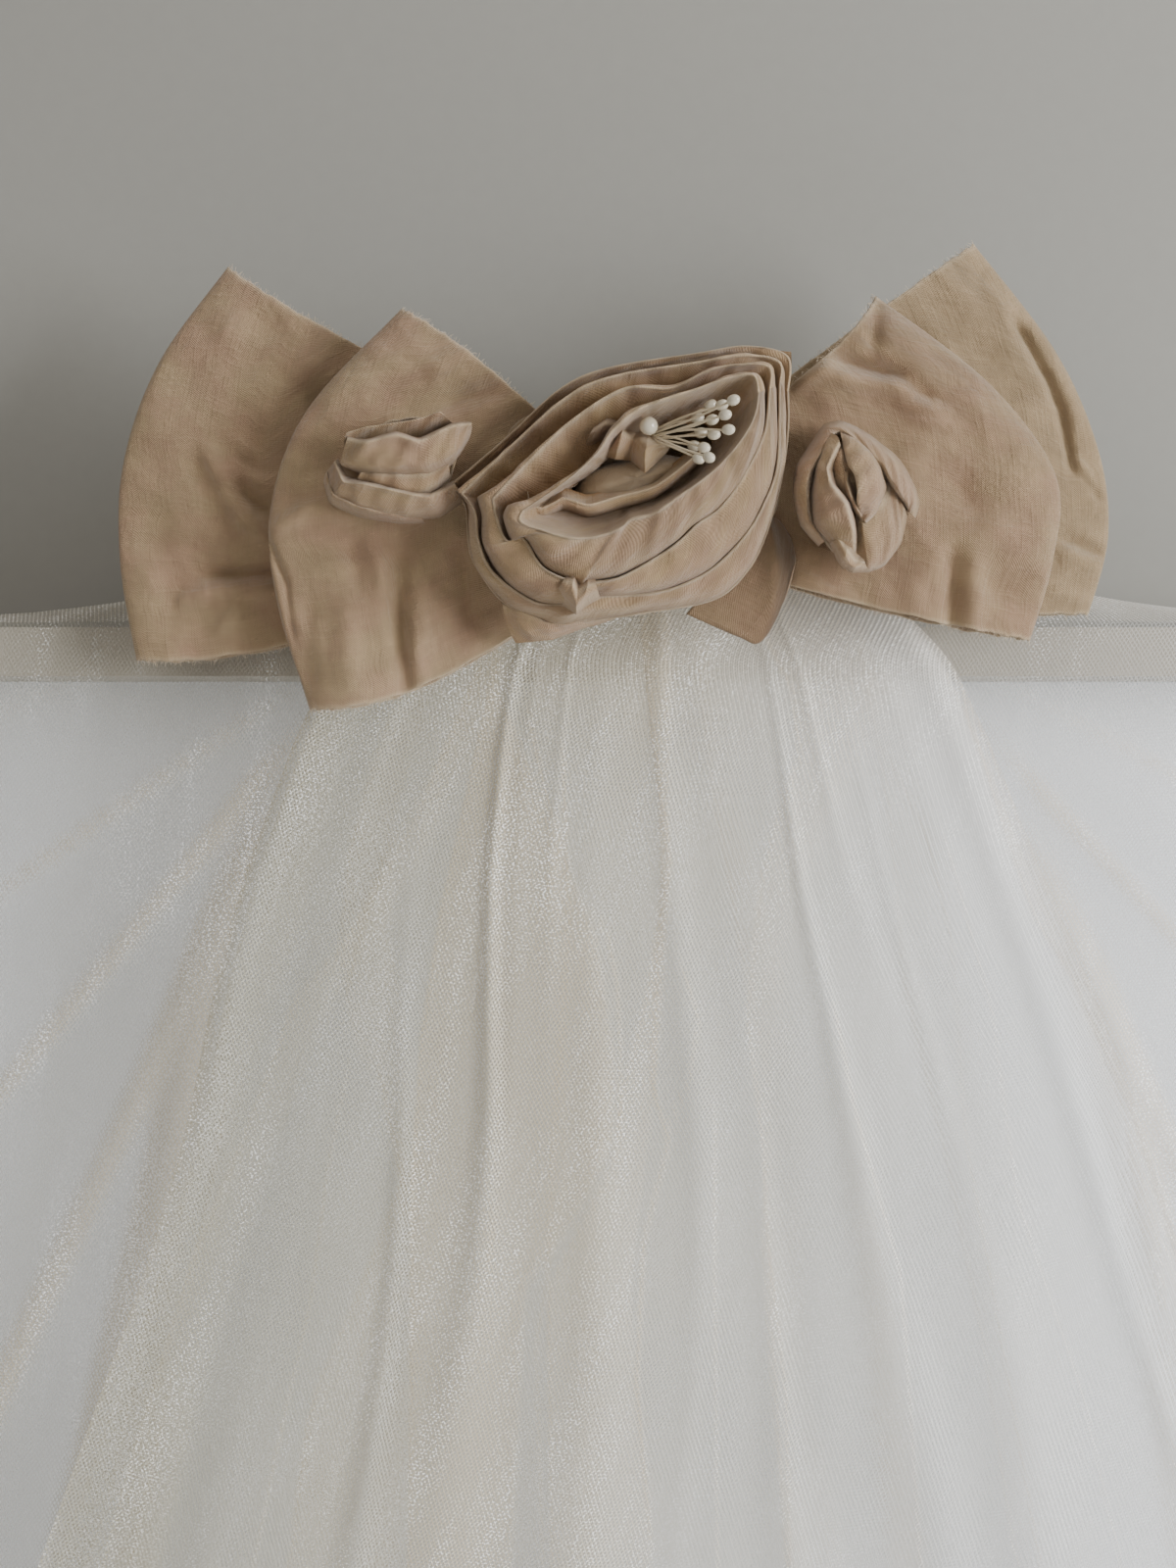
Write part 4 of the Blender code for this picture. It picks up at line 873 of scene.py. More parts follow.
def finish_node(name, made):
    """Gives a CAD node its material."""
    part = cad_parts[name]
    if not part.material_slots:
        part.data.materials.append(made)
    for place_of in part.material_slots:
        place_of.link = "OBJECT"
        place_of.material = made


# Settings

def length_of(name, description, default, least):
    """A length setting, in metres."""
    return FloatProperty(name=name, description=description, default=default, min=least,
                         subtype="DISTANCE", unit="LENGTH")


def colour_of(name, description, default):
    """A colour setting."""
    return FloatVectorProperty(name=name, description=description, subtype="COLOR", size=3,
                               default=default, min=0, max=1)


class VeilSizes(PropertyGroup):
    """Sizes of the cloth and its details."""

    net_cell: length_of("Net cell", "Width of one cell of the tulle's net", 0.00105, 0.0003)
    silk_thickness: length_of("Silk thickness", "Thickness of the bow's silk", 0.0005, 0.0001)
    lip_half: length_of("Folded lip", "Half the thickness of a rose wrap's folded edge", 0.0004, 0.0002)
    fray_length: length_of("Fray length", "Length of the threads at the bow's raw edges", 0.0016, 0.0)
    fray_spacing: length_of("Fray spacing", "Distance between frayed threads", 0.0007, 0.0002)
    seed: IntProperty(name="Seed", description="Seed of the frayed threads", default=5, min=0)


class VeilColours(PropertyGroup):
    """Colours of the cloth, the pearls and the rail."""

    silk: colour_of("Silk", "Champagne silk of the bow and flowers", (0.40, 0.285, 0.165))
    silk_tint: colour_of("Silk tint", "Pinker patches of the silk", (0.385, 0.248, 0.155))
    # Pale silk: a copy of the silk toned for the back right loop, standing for how the light from the
    # right falls on it: painted light and shade; the hidden pads take it too
    pale_silk: colour_of("Pale silk", "Paler silk of the back right loop and the pads",
                         (0.34, 0.242, 0.136))
    # The tulle's colours across the veil, dark at the left and near white at the right, stand for the
    # light that falls from the right: painted light and shade
    tulle_left_in_painted_shade: colour_of("Tulle, left", "Tulle at the left", (0.52, 0.50, 0.40))
    tulle_middle: colour_of("Tulle, middle", "Tulle in the middle", (0.745, 0.70, 0.575))
    tulle_right_in_painted_light: colour_of("Tulle, right", "Tulle at the right", (0.955, 0.965, 0.97))
    # The rail's paint is white; this much darker grey-brown stands for the shade on the rail's front
    # face: painted shade
    paint: colour_of("Rail paint", "Satin paint of the rail", (0.36, 0.325, 0.268))
    pearl: colour_of("Pearl", "Pearly lacquer of the stamens", (0.54, 0.48, 0.36))


def settings():
    """The scene's sizes and colours."""
    return bpy.context.scene.veil_sizes, bpy.context.scene.veil_colours


# Stage

def plane(name, corners, colour):
    """A flat backdrop that shows from its front only."""
    mesh = bpy.data.meshes.new(name)
    mesh.from_pydata(corners, [], [(0, 1, 2, 3)])
    made, tree, shader = new_material(name, 0.85)
    where = node(tree, "ShaderNodeTexCoord")
    grain = noise(tree, where.outputs["Object"], 220.0, 2.0)
    lift = between(tree, grain, 0.0, 1.0, 0.97, 1.03)
    tree.links.new(dimmed(tree, (*colour, 1), lift), shader.inputs["Base Color"])
    behind = node(tree, "ShaderNodeNewGeometry").outputs["Backfacing"]
    tree.links.new(calc(tree, "SUBTRACT", 1.0, behind), shader.inputs["Alpha"])
    mesh.materials.append(made)
    in_scene(name, mesh)


def area_light(name, at, target, size, power, colour):
    """A soft area light that looks at a point."""
    light = bpy.data.lights.new(name, "AREA")
    light.shape = "DISK"
    light.size = size
    light.energy = power
    light.color = colour
    piece = in_scene(name, light)
    piece.location = at
    way = np.array(target) - np.array(at)
    piece.rotation_euler = Vector(way).to_track_quat("-Z", "Y").to_euler()


# Half width, wall's place just behind the rail's back, floor's height, and the front and top edges
STAGE_HALF, WALL_Y, FLOOR_Z, STAGE_FRONT, STAGE_TOP = 2.0, 0.0006, -0.63, -3, 2
# Name, colour, and y and z of the lower or near edge and of the upper or far edge
BACKDROPS = (
    ("wall_above", (0.310, 0.303, 0.276), (WALL_Y, 0), (WALL_Y, STAGE_TOP)),
    ("wall_below", (0.835, 0.855, 0.885), (WALL_Y, FLOOR_Z), (WALL_Y, 0)),
    ("floor", (0.75, 0.74, 0.72), (STAGE_FRONT, FLOOR_Z), (WALL_Y, FLOOR_Z)),
)
SENSOR, LENS = 36.0, 75.0
ROOM_COLOUR, ROOM_STRENGTH = (0.90, 0.87, 0.825), 0.32
# Name, place, target, size, power, colour
LIGHTS = (
    ("window", (1.05, -0.80, 0.06), (0.08, -0.05, -0.14), 0.8, 21.3, (0.97, 0.985, 1.0)),
    ("room", (-0.8, -1.6, 0.5), (0.0, -0.05, -0.05), 1.6, 4.0, (1.0, 0.965, 0.91)),
    ("above", (0.35, -0.45, 1.1), (0.0, -0.08, 0.0), 0.6, 4.5, (1.0, 0.98, 0.95)),
)


class VEIL_OT_stage(Operator):
    """Floor, backdrop, lights and camera"""

    bl_idname = "veil.stage"
    bl_label = "Stage"

    def execute(self, context):
        for name, colour, (near, low), (far, high) in BACKDROPS:
            plane(name, [(-STAGE_HALF, near, low), (STAGE_HALF, near, low),
                         (STAGE_HALF, far, high), (-STAGE_HALF, far, high)], colour)
        for light in LIGHTS:
            area_light(*light)
        world = bpy.data.worlds.new("studio")
        world.use_nodes = True
        room = world.node_tree.nodes["Background"].inputs
        room["Color"].default_value = (*ROOM_COLOUR, 1)
        room["Strength"].default_value = ROOM_STRENGTH
        context.scene.world = world
        lens = bpy.data.cameras.new("camera")
        lens.sensor_fit = "HORIZONTAL"
        lens.sensor_width = SENSOR
        lens.lens = LENS
        camera = in_scene("camera", lens)
        camera.location = (EYE_X * MM, (RAIL_FRONT - EYE_AWAY) * MM, (EYE_Z + RAIL_TOP) * MM)
        camera.rotation_euler = (math.pi / 2, 0, 0)
        context.scene.camera = camera
        return {"FINISHED"}


def pad_grid(x, z, wide, high, back, front):
    """A covered oval pad with rounded edges and a few soft tucks round its rim."""
    around = np.linspace(0, 2 * math.pi, 72, endpoint=False)[None, :]
    bend = np.linspace(-0.49 * math.pi, 0.49 * math.pi, 26)[:, None]
    out = np.cos(bend) ** 0.35 * (1 - 0.02 * np.sin(around * 12) * np.cos(bend) ** 4)
    depth = (back + front) / 2 + (front - back) / 2 * np.sign(bend) * np.abs(np.sin(bend)) ** 0.7
    across, up = x + wide * out * np.cos(around), z + RAIL_TOP + high * out * np.sin(around)
    return np.stack([across, depth + 0 * around, up], axis=-1)


class VEIL_OT_rail_and_comb(Operator):
    """Satin paint of the rail, darkened as painted shade, the comb's plastic and the hidden pads that
    carry the bow and rose
    """

    bl_idname = "veil.rail_and_comb"
    bl_label = "Rail, comb and base"

    def execute(self, context):
        _, colours = settings()
        made, tree, shader = new_material("satin_paint_in_painted_shade", 0.42)
        where = node(tree, "ShaderNodeTexCoord")
        brushed = noise(tree, where.outputs["Object"], 1.0, 3.0, stretch=(12.0, 400.0, 400.0))
        dust = noise(tree, where.outputs["Object"], 30.0, 4.0)
        lift = calc(tree, "MULTIPLY_ADD", dust, 0.08, 0.95)
        # The paint's dark colour is painted shade on the white rail; the dust only varies it
        tree.links.new(dimmed(tree, (*colours.paint, 1), lift), shader.inputs["Base Color"])
        tree.links.new(between(tree, dust, 0.3, 0.7, 0.36, 0.5), shader.inputs["Roughness"])
        bump = node(tree, "ShaderNodeBump", {"Height": brushed, "Distance": 0.05 * MM, "Strength": 0.6})
        tree.links.new(bump.outputs[0], shader.inputs["Normal"])
        finish_node("rail", made)

        made, _ = mottled("ivory_plastic", (0.3,), 60.0, 2.0, (0.72, 0.68, 0.60), (0.80, 0.77, 0.70),
                          (0.25, 0.36))
        finish_node("comb", made)

        # The hidden pads take the back right loop's copy of the silk, toned for painted light and shade
        pale = raw_silk("champagne_silk_toned_for_light", colours.pale_silk, colours.silk)
        for name, (x, z, wide, high, back, front) in PADS.items():
            piece = cloth(f"{name}_pad", pad_grid(x, z, wide, high, back, front), pale, closed=True,
                          ends=True, shift=wide)
            dress(piece, "pale_silk" if name == "base" else "silk", name)
        return {"FINISHED"}


# Tulle

def sheer_fold(down):
    """The fold depth of the sheer layer at this share of the veil's drop."""
    return SHEER_TOP_FOLD + (SHEER_HEM_FOLD - SHEER_TOP_FOLD) * down


def gather_fold(name, down):
    """The fold depth of a gathered layer at this share of the veil's drop."""
    layer = LAYERS[name]
    return layer["top_fold"] + (layer["hem_fold"] - layer["top_fold"]) * down**0.8


def layer_back(name, down):
    """How far forward a gathered layer starts, clear of the layers behind it."""
    step = SEAM_GAP + 1.5 * down
    y = RAIL_FRONT - TULLE_WALL - SEAM_GAP * 2 - FOLD_REACH * sheer_fold(down) - step
    if name == "veil_upper":
        y = y - FOLD_REACH * gather_fold("veil_under", down) - TULLE_WALL - step
    return y - TULLE_WALL / 2


def tightness(grid):
    """How dense a layer looks from the front, where its folds turn it away."""
    normal = grid_normals(grid, False)
    return 1.0 / np.clip(np.abs(normal[:, :, 1]), 0.28, 1.0)


def line_at(points, drops):
    """The x of a line of points at each drop."""
    table = np.array(points, float)
    return np.interp(drops, table[:, 1], table[:, 0])


def folded_net(name, x, drops):
    """How much denser the net looks where a layer lies doubled or a fold turns over."""
    extra = np.zeros(x.shape)
    for amount, soft, left, right in DOUBLED[name]:
        inside_left, inside_right = x - line_at(left, drops), line_at(right, drops) - x
        stretch = np.clip(inside_left / 1.2, 0, 1) * ease(inside_right / soft)
        extra += 1.5 * amount * stretch + 1.1 * np.exp(-((inside_left - 0.8) / 0.7) ** 2)
    for amount, width, points in FOLD_LINES[name]:
        ends = ease((drops - points[0][1]) / 14) * ease((points[-1][1] - drops) / 14)
        extra += 1.5 * amount * ends * np.exp(-(((x - line_at(points, drops)) / width) ** 2))
    return extra


def gathered_layer(name, folds, columns=560, rows=150):
    """A gathered layer: soft uneven folds that fan from the gather to the hem, some of them crossing."""
    layer = LAYERS[name]
    shares = np.linspace(0, 1, columns)[None, :]
    drops = GATHER_TOP + (VEIL_DROP * layer["length"] - GATHER_TOP) * np.linspace(0, 1, rows) ** 1.35
    drops = drops[:, None]
    down = np.clip(drops, 0, None) / VEIL_DROP
    table = np.array(VEIL_EDGES, float)
    left, right = (np.interp(drops[:, 0], table[:, 0], table[:, i]) for i in (1, 2))
    soften = np.hanning(9) / np.hanning(9).sum()
    left, right = (np.convolve(np.pad(e, 4, "edge"), soften, "valid")[:, None] for e in (left, right))
    middle, half = (left + right) / 2, (right - left) / 2 * layer["width"]
    side = 2 * shares - 1
    x = middle + half * side
    extra = folded_net(name, x, np.broadcast_to(drops, x.shape))
    inward = (1 - np.abs(side)) * half
    extra = extra + 1.3 * np.exp(-((inward / 1.1) ** 2)) + 0.5 * ease(1 - inward / 16)
    tucks = np.sin(shares * 150 + 6 * np.sin(shares * 17) + 3 * np.sin(down * 4))
    wave = 0.012 * tucks * np.exp(-down * 9)
    wave = wave + 0.06 * np.sin(shares * 37 + 5 * down) + 0.08 * np.sin(shares * 21 - 3 * down)
    for i, (top, hem, width, height) in enumerate(folds):
        at = top + (hem - top) * ease(down * 1.6) * 1.6 + 0.010 * np.sin(down * 9 + i * 1.9)
        wide = width * (0.75 + 0.35 * np.sin(down * 6 + i * 1.3)) * (0.5 + 0.7 * down)
        tall = height * (0.6 + 0.4 * np.sin(down * 7 + i * 2.3))
        wave += tall * np.exp(-np.abs((shares - at) / wide) ** 2)
    wave = np.clip(wave * 0.8, -0.1, 1.0) * 2 - 1
    back = layer_back(name, down)
    fold = gather_fold(name, down)
    grid = place(x, -drops + 26 * down * side * side, back - fold)
    grid[:, :, 1] = back - fold * (1 + wave) - 0.06 * np.clip(extra, 0, 2.5)
    dense = (0.25 + 0.5 * tightness(grid)) * (1 + 1.8 * np.exp(-np.clip(drops, 0, None) / 60)) + extra
    # side picks the tulle's painted light across the layer; lower down it moves toward the bright
    # right-hand colour, painted light on the lower veil
    return grid, dict(dense=dense, side=side + down**1.6 * (1 - side * side))


def sheer_layer(columns=300, rows=150):
    """The wide single layer, over the rail's top at the sides and up behind the bow in the middle."""
    half = TULLE_WALL / 2
    corner_y = RAIL_FRONT - half - SEAM_GAP * 2
    corner_z = half + SEAM_GAP * 2
    side = np.linspace(-1, 1, columns)
    grid = []
    rise = np.radians(spline(SHEER_RISE, np.abs(side)))
    reach = 17.0 + 13.0 * np.abs(side)
    for back_share in np.linspace(1, 0, SHEER_TOP_ROWS):
        out = reach * back_share + 0.15 + 0.15 * np.sin(side * 40)
        puff = 0.9 * np.sin(math.pi * back_share) * np.sin(side * 23) ** 2 * np.cos(rise)
        x = SHEER_HALF * side * (1 - 0.06 * back_share)
        y, z = corner_y + out * np.cos(rise), corner_z + RAIL_TOP + out * np.sin(rise) + puff
        grid.append(np.stack([x, y, z], -1))
    for down in np.linspace(SHEER_START / VEIL_DROP, SHEER_END / VEIL_DROP, rows - SHEER_TOP_ROWS):
        drop = down * VEIL_DROP
        width = SHEER_HALF + (SHEER_HEM_HALF - SHEER_HALF) * down
        x = width * side
        fold = sheer_fold(down)
        wave = 0.5 * np.sin(side * 14 + 0.6) + 0.3 * np.sin(side * 31 + 2 * down)
        y = corner_y - fold * (1 + wave)
        z = RAIL_TOP - drop + 30 * down * side * side
        grid.append(np.stack([x, y, z], -1))
    grid = np.array(grid)
    lift = crease_lift(grid[:, :, 0], grid[:, :, 2] - RAIL_TOP, [
        (x1, -d1, x2, -d2, width, height) for x1, d1, x2, d2, width, height in SHEER_FOLDS])
    room = ease((RAIL_TOP - grid[:, :, 2]) / 60)
    grid[:, :, 1] -= lift * room * 1.2
    dense = tightness(grid) + 2.2 * np.clip(lift, 0, 1.5) ** 2 * room
    # side picks the tulle's painted light and shade across the layer
    return grid, dict(dense=dense, side=np.broadcast_to(side, dense.shape))


class VEIL_OT_tulle(Operator):
    """Three layers of tulle"""

    bl_idname = "veil.tulle"
    bl_label = "Tulle layers"

    def execute(self, context):
        sizes, colours = settings()
        # The tulle's colours from left to right are painted light and shade
        tones_in_painted_light = (tuple(colours.tulle_left_in_painted_shade), tuple(colours.tulle_middle), tuple(colours.tulle_right_in_painted_light))
        cell = sizes.net_cell / MM * NET_SCALE
        grid, values = sheer_layer()
        sheer = tulle("sheer_tulle", tones_in_painted_light, cell, *SHEER_COVER)
        piece = cloth("tulle_sheer", grid, sheer, values=values)
        dress_sheet(piece, grid, "tulle", "draped", "rail", "veil_outer")
        gathered = tulle("gathered_tulle", tones_in_painted_light, cell, *GATHERED_COVER)
        for name, folds in (("veil_under", UNDER_FOLDS), ("veil_upper", UPPER_FOLDS)):
            grid, values = gathered_layer(name, folds)
            piece = cloth(f"tulle_{name[5:]}", grid, gathered, values=values, shift=len(folds))
            dress_sheet(piece, grid, "tulle", "gathered", "base", name)
        return {"FINISHED"}


# Bow

def three_points(a):
    """The shares of a curve's start, middle and end points along it."""
    return (1 - a) * (1 - 2 * a), 4 * a * (1 - a), a * (2 * a - 1)


def loop_grid(data):
    """A bow loop: a strip that runs out from the pinch, turns at its outer fold and comes back."""
    across = np.linspace(0, 1, LOOP_ACROSS)
    table = spline(np.array(data["table"], float), across)
    round_it = np.radians(np.linspace(10, 350, LOOP_ALONG))[None, :]
    a = (1 - np.cos(round_it)) / 2
    v = across[:, None]
    raw = 0.5 * np.sin(round_it * 21 + data["seed"]) + 0.35 * np.sin(round_it * 47)
    pinch, middle, outer = three_points(a)
    x = pinch * table[:, 4:5] + middle * table[:, 2:3] + outer * table[:, 0:1]
    z = pinch * table[:, 5:6] + middle * table[:, 3:4] + outer * table[:, 1:2]
    z = z + raw * 0.5 * a * (2 * v - 1) ** 7
    depth = data["pinch"] + (data["fold"] - data["pinch"]) * a
    in_front = round_it < math.pi
    swell = np.where(in_front, data["front"], data["back"])
    pleat = 0.8 * (1 - a) ** 2 * np.sin(2 * math.pi * (data["pleats"] * v + 0.2))
    lift = -swell * np.sin(round_it) * (0.75 + 0.6 * a) + pleat
    face = np.abs(np.sin(round_it)) ** 0.5
    marks = 2.9 * crease_lift(x, z, data["creases"]) * face
    soft = 0.6 * ripple(x, z, data["seed"]) - 1.9 * np.abs(ripple(x / 1.5, z / 1.5, data["seed"] + 3))
    soft = soft - 1.1 * np.abs(ripple(x * 1.3, z * 1.1, data["seed"] + 7)) + 1.3
    rays = np.sin(v * 23 + 2.5 * np.sin(a * 4 + data["seed"])) * 0.6 * (1 - a) * a**0.5
    soft = (soft + rays) * face
    lift = lift - np.where(in_front, marks, -0.6 * marks) - soft
    grid = place(x, z, depth)
    grid[:, :, 1] += lift
    return grid


def growing_tree(name, lengths_of, seed=None):
    """A Geometry Nodes tree with length inputs, a seed and a material: the tree and its input node."""
    tree = bpy.data.node_groups.new(name, "GeometryNodeTree")
    socket = tree.interface.new_socket
    socket(name="Geometry", in_out="INPUT", socket_type="NodeSocketGeometry")
    for label, default in lengths_of:
        socket(name=label, in_out="INPUT", socket_type="NodeSocketFloat").default_value = default
    if seed is not None:
        socket(name="Seed", in_out="INPUT", socket_type="NodeSocketInt").default_value = seed
    socket(name="Material", in_out="INPUT", socket_type="NodeSocketMaterial")
    socket(name="Geometry", in_out="OUTPUT", socket_type="NodeSocketGeometry")
    return tree, tree.nodes.new("NodeGroupInput")


def put_on_points(tree, given, points, instance, rotation, scale):
    """Ends a tree: instances on points, made real, with the tree's material."""
    put = node(tree, "GeometryNodeInstanceOnPoints", {
        "Points": points, "Instance": instance, "Rotation": rotation, "Scale": scale})
    real = node(tree, "GeometryNodeRealizeInstances", {"Geometry": put.outputs[0]})
    done = node(tree, "GeometryNodeSetMaterial", {
        "Geometry": real.outputs[0], "Material": given.outputs["Material"]})
    tree.links.new(done.outputs[0], tree.nodes.new("NodeGroupOutput").inputs[0])
    return tree


def facing_away(tree):
    """The rotation that stands an instance along its point's own direction."""
    away = node(tree, "GeometryNodeInputNamedAttribute", {"Name": "away"}, data_type="FLOAT_VECTOR")
    return node(tree, "FunctionNodeAlignRotationToVector", {"Vector": away.outputs[0]}, axis="Z")


def fray_tree():
    """Threads that stand out from a raw edge, one on each point of a line."""
    tree, given = growing_tree("Frayed edge", (("Length", 0.0016), ("Spacing", 0.0007)), 5)
    line = node(tree, "GeometryNodeMeshToCurve", {"Mesh": given.outputs["Geometry"]})
    spaced = node(tree, "GeometryNodeResampleCurve", {
        "Curve": line.outputs[0], "Length": given.outputs["Spacing"]}, mode="LENGTH")
    thread = node(tree, "GeometryNodeCurvePrimitiveBezierSegment", {
        "Resolution": 3, "Start": (0, 0, 0), "Start Handle": (0, 0, 0.4), "End Handle": (0.25, 0, 0.75),
        "End": (0.45, 0.1, 1.0)})
    shape = node(tree, "GeometryNodeCurvePrimitiveCircle", {"Resolution": 3, "Radius": 0.05})
    tube = node(tree, "GeometryNodeCurveToMesh", {
        "Curve": thread.outputs[0], "Profile Curve": shape.outputs[0], "Fill Caps": True})
    face = facing_away(tree)
    spin = node(tree, "FunctionNodeRandomValue", {
        0: (-0.7, -0.7, -3.0), 1: (0.7, 0.7, 3.0), "Seed": given.outputs["Seed"]},
        data_type="FLOAT_VECTOR")
    turned = node(tree, "FunctionNodeRotateRotation", {
        "Rotation": face.outputs[0], "Rotate By": spin.outputs[0]}, rotation_space="LOCAL")
    varied = node(tree, "FunctionNodeRandomValue", {
        2: 0.25, 3: 1.0, "Seed": given.outputs["Seed"]}, data_type="FLOAT")
    size = node(tree, "ShaderNodeMath", {0: varied.outputs[1], 1: given.outputs["Length"]},
                operation="MULTIPLY")
    return put_on_points(tree, given, spaced.outputs[0], tube.outputs[0], turned.outputs[0],
                         size.outputs[0])


def grown(name, mesh, tree, values):
    """A mesh piece grown by a Geometry Nodes tree from a mesh of points or lines."""
    seed = in_scene(f"{name}_seed", mesh)
    grow = seed.modifiers.new("grow", "NODES")
    grow.node_group = tree
    for socket in tree.interface.items_tree:
        if socket.item_type == "SOCKET" and socket.in_out == "INPUT" and socket.name in values:
            grow[socket.identifier] = values[socket.name]
    ready = seed.evaluated_get(bpy.context.evaluated_depsgraph_get())
    made = bpy.data.meshes.new_from_object(ready)
    seed.modifiers.remove(grow)
    bpy.data.objects.remove(seed)
    made.name = name
    return in_scene(name, made)


def pointed_mesh(name, points, edges, ways):
    """A mesh of points and lines, each point with the direction of what grows on it."""
    mesh = bpy.data.meshes.new(name)
    mesh.from_pydata(points, edges, [])
    mesh.attributes.new("away", "FLOAT_VECTOR", "POINT")
    mesh.attributes["away"].data.foreach_set("vector", np.array(ways, np.float32).ravel())
    return mesh


def edge_line(name, lines, aways):
    """A mesh of lines, each with the way its threads point."""
    points, edges, ways = [], [], []
    for line, away in zip(lines, aways):
        start = len(points)
        points += (line * MM).tolist()
        ways += away.tolist()
        edges += [(start + i, start + i + 1) for i in range(len(line) - 1)]
    return pointed_mesh(name, points, edges, ways)


class VEIL_OT_bow(Operator):
    """Four bow loops of raw silk with frayed edges"""

    bl_idname = "veil.bow"
    bl_label = "Bow loops"

    def execute(self, context):
        sizes, colours = settings()
        silk = raw_silk("champagne_silk", colours.silk, colours.silk_tint)
        # The back right loop's copy of the silk, toned for the light that falls on it: painted light and
        # shade
        pale = raw_silk("champagne_silk_toned_for_light", colours.pale_silk, colours.silk)
        painted_shade_silk = raw_silk("painted_shade_champagne_silk", *PAINTED_SHADE_SILK)
        thread, _ = mottled("silk_thread", (0.5, 0.3), 900.0, 2.0, (0.56, 0.44, 0.31),
                            (0.72, 0.60, 0.45))
        lines, aways = [], []
        for name, data in LOOPS.items():
            grid = loop_grid(data)
            right = name == "bow_back_right"
            # The front right loop takes the darker copy of the silk: painted shade; the back right loop
            # takes the pale silk, toned for its light: painted light and shade
            made = pale if right else painted_shade_silk if name == "bow_front_right" else silk
            # The loops' pale raw edges: partly the frayed edge, partly a painted highlight where they
            # catch the light
            edges = sum(lip_highlight_and_valley_shade(grid, row, EDGE_ROWS)["lip"] for row in (0, LOOP_ACROSS - 1))
            piece = cloth(f"{name}_cloth", grid, made, thick=sizes.silk_thickness / MM,
                          values=dict(lip=edges), shift=90 * data["seed"])
            dress_sheet(piece, grid, "pale_silk" if right else "silk", "folded", "bow_knot", name)
            for row, inner in ((0, 2), (-1, -3)):
                away = grid[row, FRAYED] - grid[inner, FRAYED]
                lines.append(grid[row, FRAYED])
                aways.append(away / np.linalg.norm(away, axis=1, keepdims=True))
        piece = grown("bow_fray", edge_line("fray", lines, aways), fray_tree(), {
            "Length": sizes.fray_length, "Spacing": sizes.fray_spacing, "Seed": sizes.seed,
            "Material": thread})
        dress(piece, "silk")
        return {"FINISHED"}


# Rose and buds

def ring_points(ring, angle):
    """Points of a ring at angles in degrees."""
    radius = ring_spline(ring["radii"], angle / 360)
    x = ring["centre"][0] + radius * np.cos(np.radians(angle))
    z = ring["centre"][1] + radius * np.sin(np.radians(angle))
    return place(x, z, np.array(ring["depth"]))


def even_line(points, count):
    """A smooth line through points, read at even steps of its length, without its last point."""
    fine = spline(np.array(points, float), np.linspace(0, 1, 600))
    run = np.concatenate([[0], np.cumsum(np.linalg.norm(np.diff(fine, axis=0), axis=1))])
    at = np.linspace(0, run[-1], count + 1)[:-1]
    return np.stack([np.interp(at, run, fine[:, i]) for i in range(2)], axis=-1)


def lip_points(ring, columns, seed=0.0):
    """Points of a rose turn's lip, with its soft unevenness."""
    flat = np.concatenate([even_line(ring[half], columns // 2) for half in ("upper", "lower")])
    t = np.linspace(0, 2 * math.pi, len(flat), endpoint=False)
    depth = ring["depth"] + 0.7 * np.sin(5 * t + seed) + 0.4 * np.sin(12 * t + 2 * seed)
    depth += 0.25 * np.sin(27 * t + 3 * seed)
    return place(flat[:, 0], flat[:, 1], depth)


def swayed(ring, angle, ripples, seed):
    """A bud ring's points with the lip's soft unevenness."""
    turn = np.radians(angle)
    points = ring_points(ring, angle)
    points[:, 1] += ripples * (0.6 * np.sin(turn * 5 + seed) + 0.4 * np.sin(turn * 11 + seed * 2.3))
    out = points - points.mean(axis=0)
    out[:, 1] = 0
    out /= np.linalg.norm(out, axis=1, keepdims=True)
    tuck = 0.5 * np.sin(turn * 9 + seed * 3) + 0.4 * np.sin(turn * 17 - seed)
    return points + out * (ripples * 0.7 * tuck)[:, None]


def between_turns(lip, following, deepest):
    """The valley between a turn and the next one: close to the next at the top, to the lip below."""
    t = np.linspace(0, 2 * math.pi, len(lip), endpoint=False)
    share = (0.5 + 0.44 * np.tanh(3 * np.sin(t)))[:, None]
    gap = following - lip
    gap[:, 1] = 0
    valley = lip + gap * share
    drop = 1.4 + 0.34 * np.linalg.norm(gap, axis=1) * (0.65 + 0.35 * np.sin(t))
    valley[:, 1] = np.minimum(lip[:, 1] + np.minimum(drop, 7.5), deepest)
    return valley


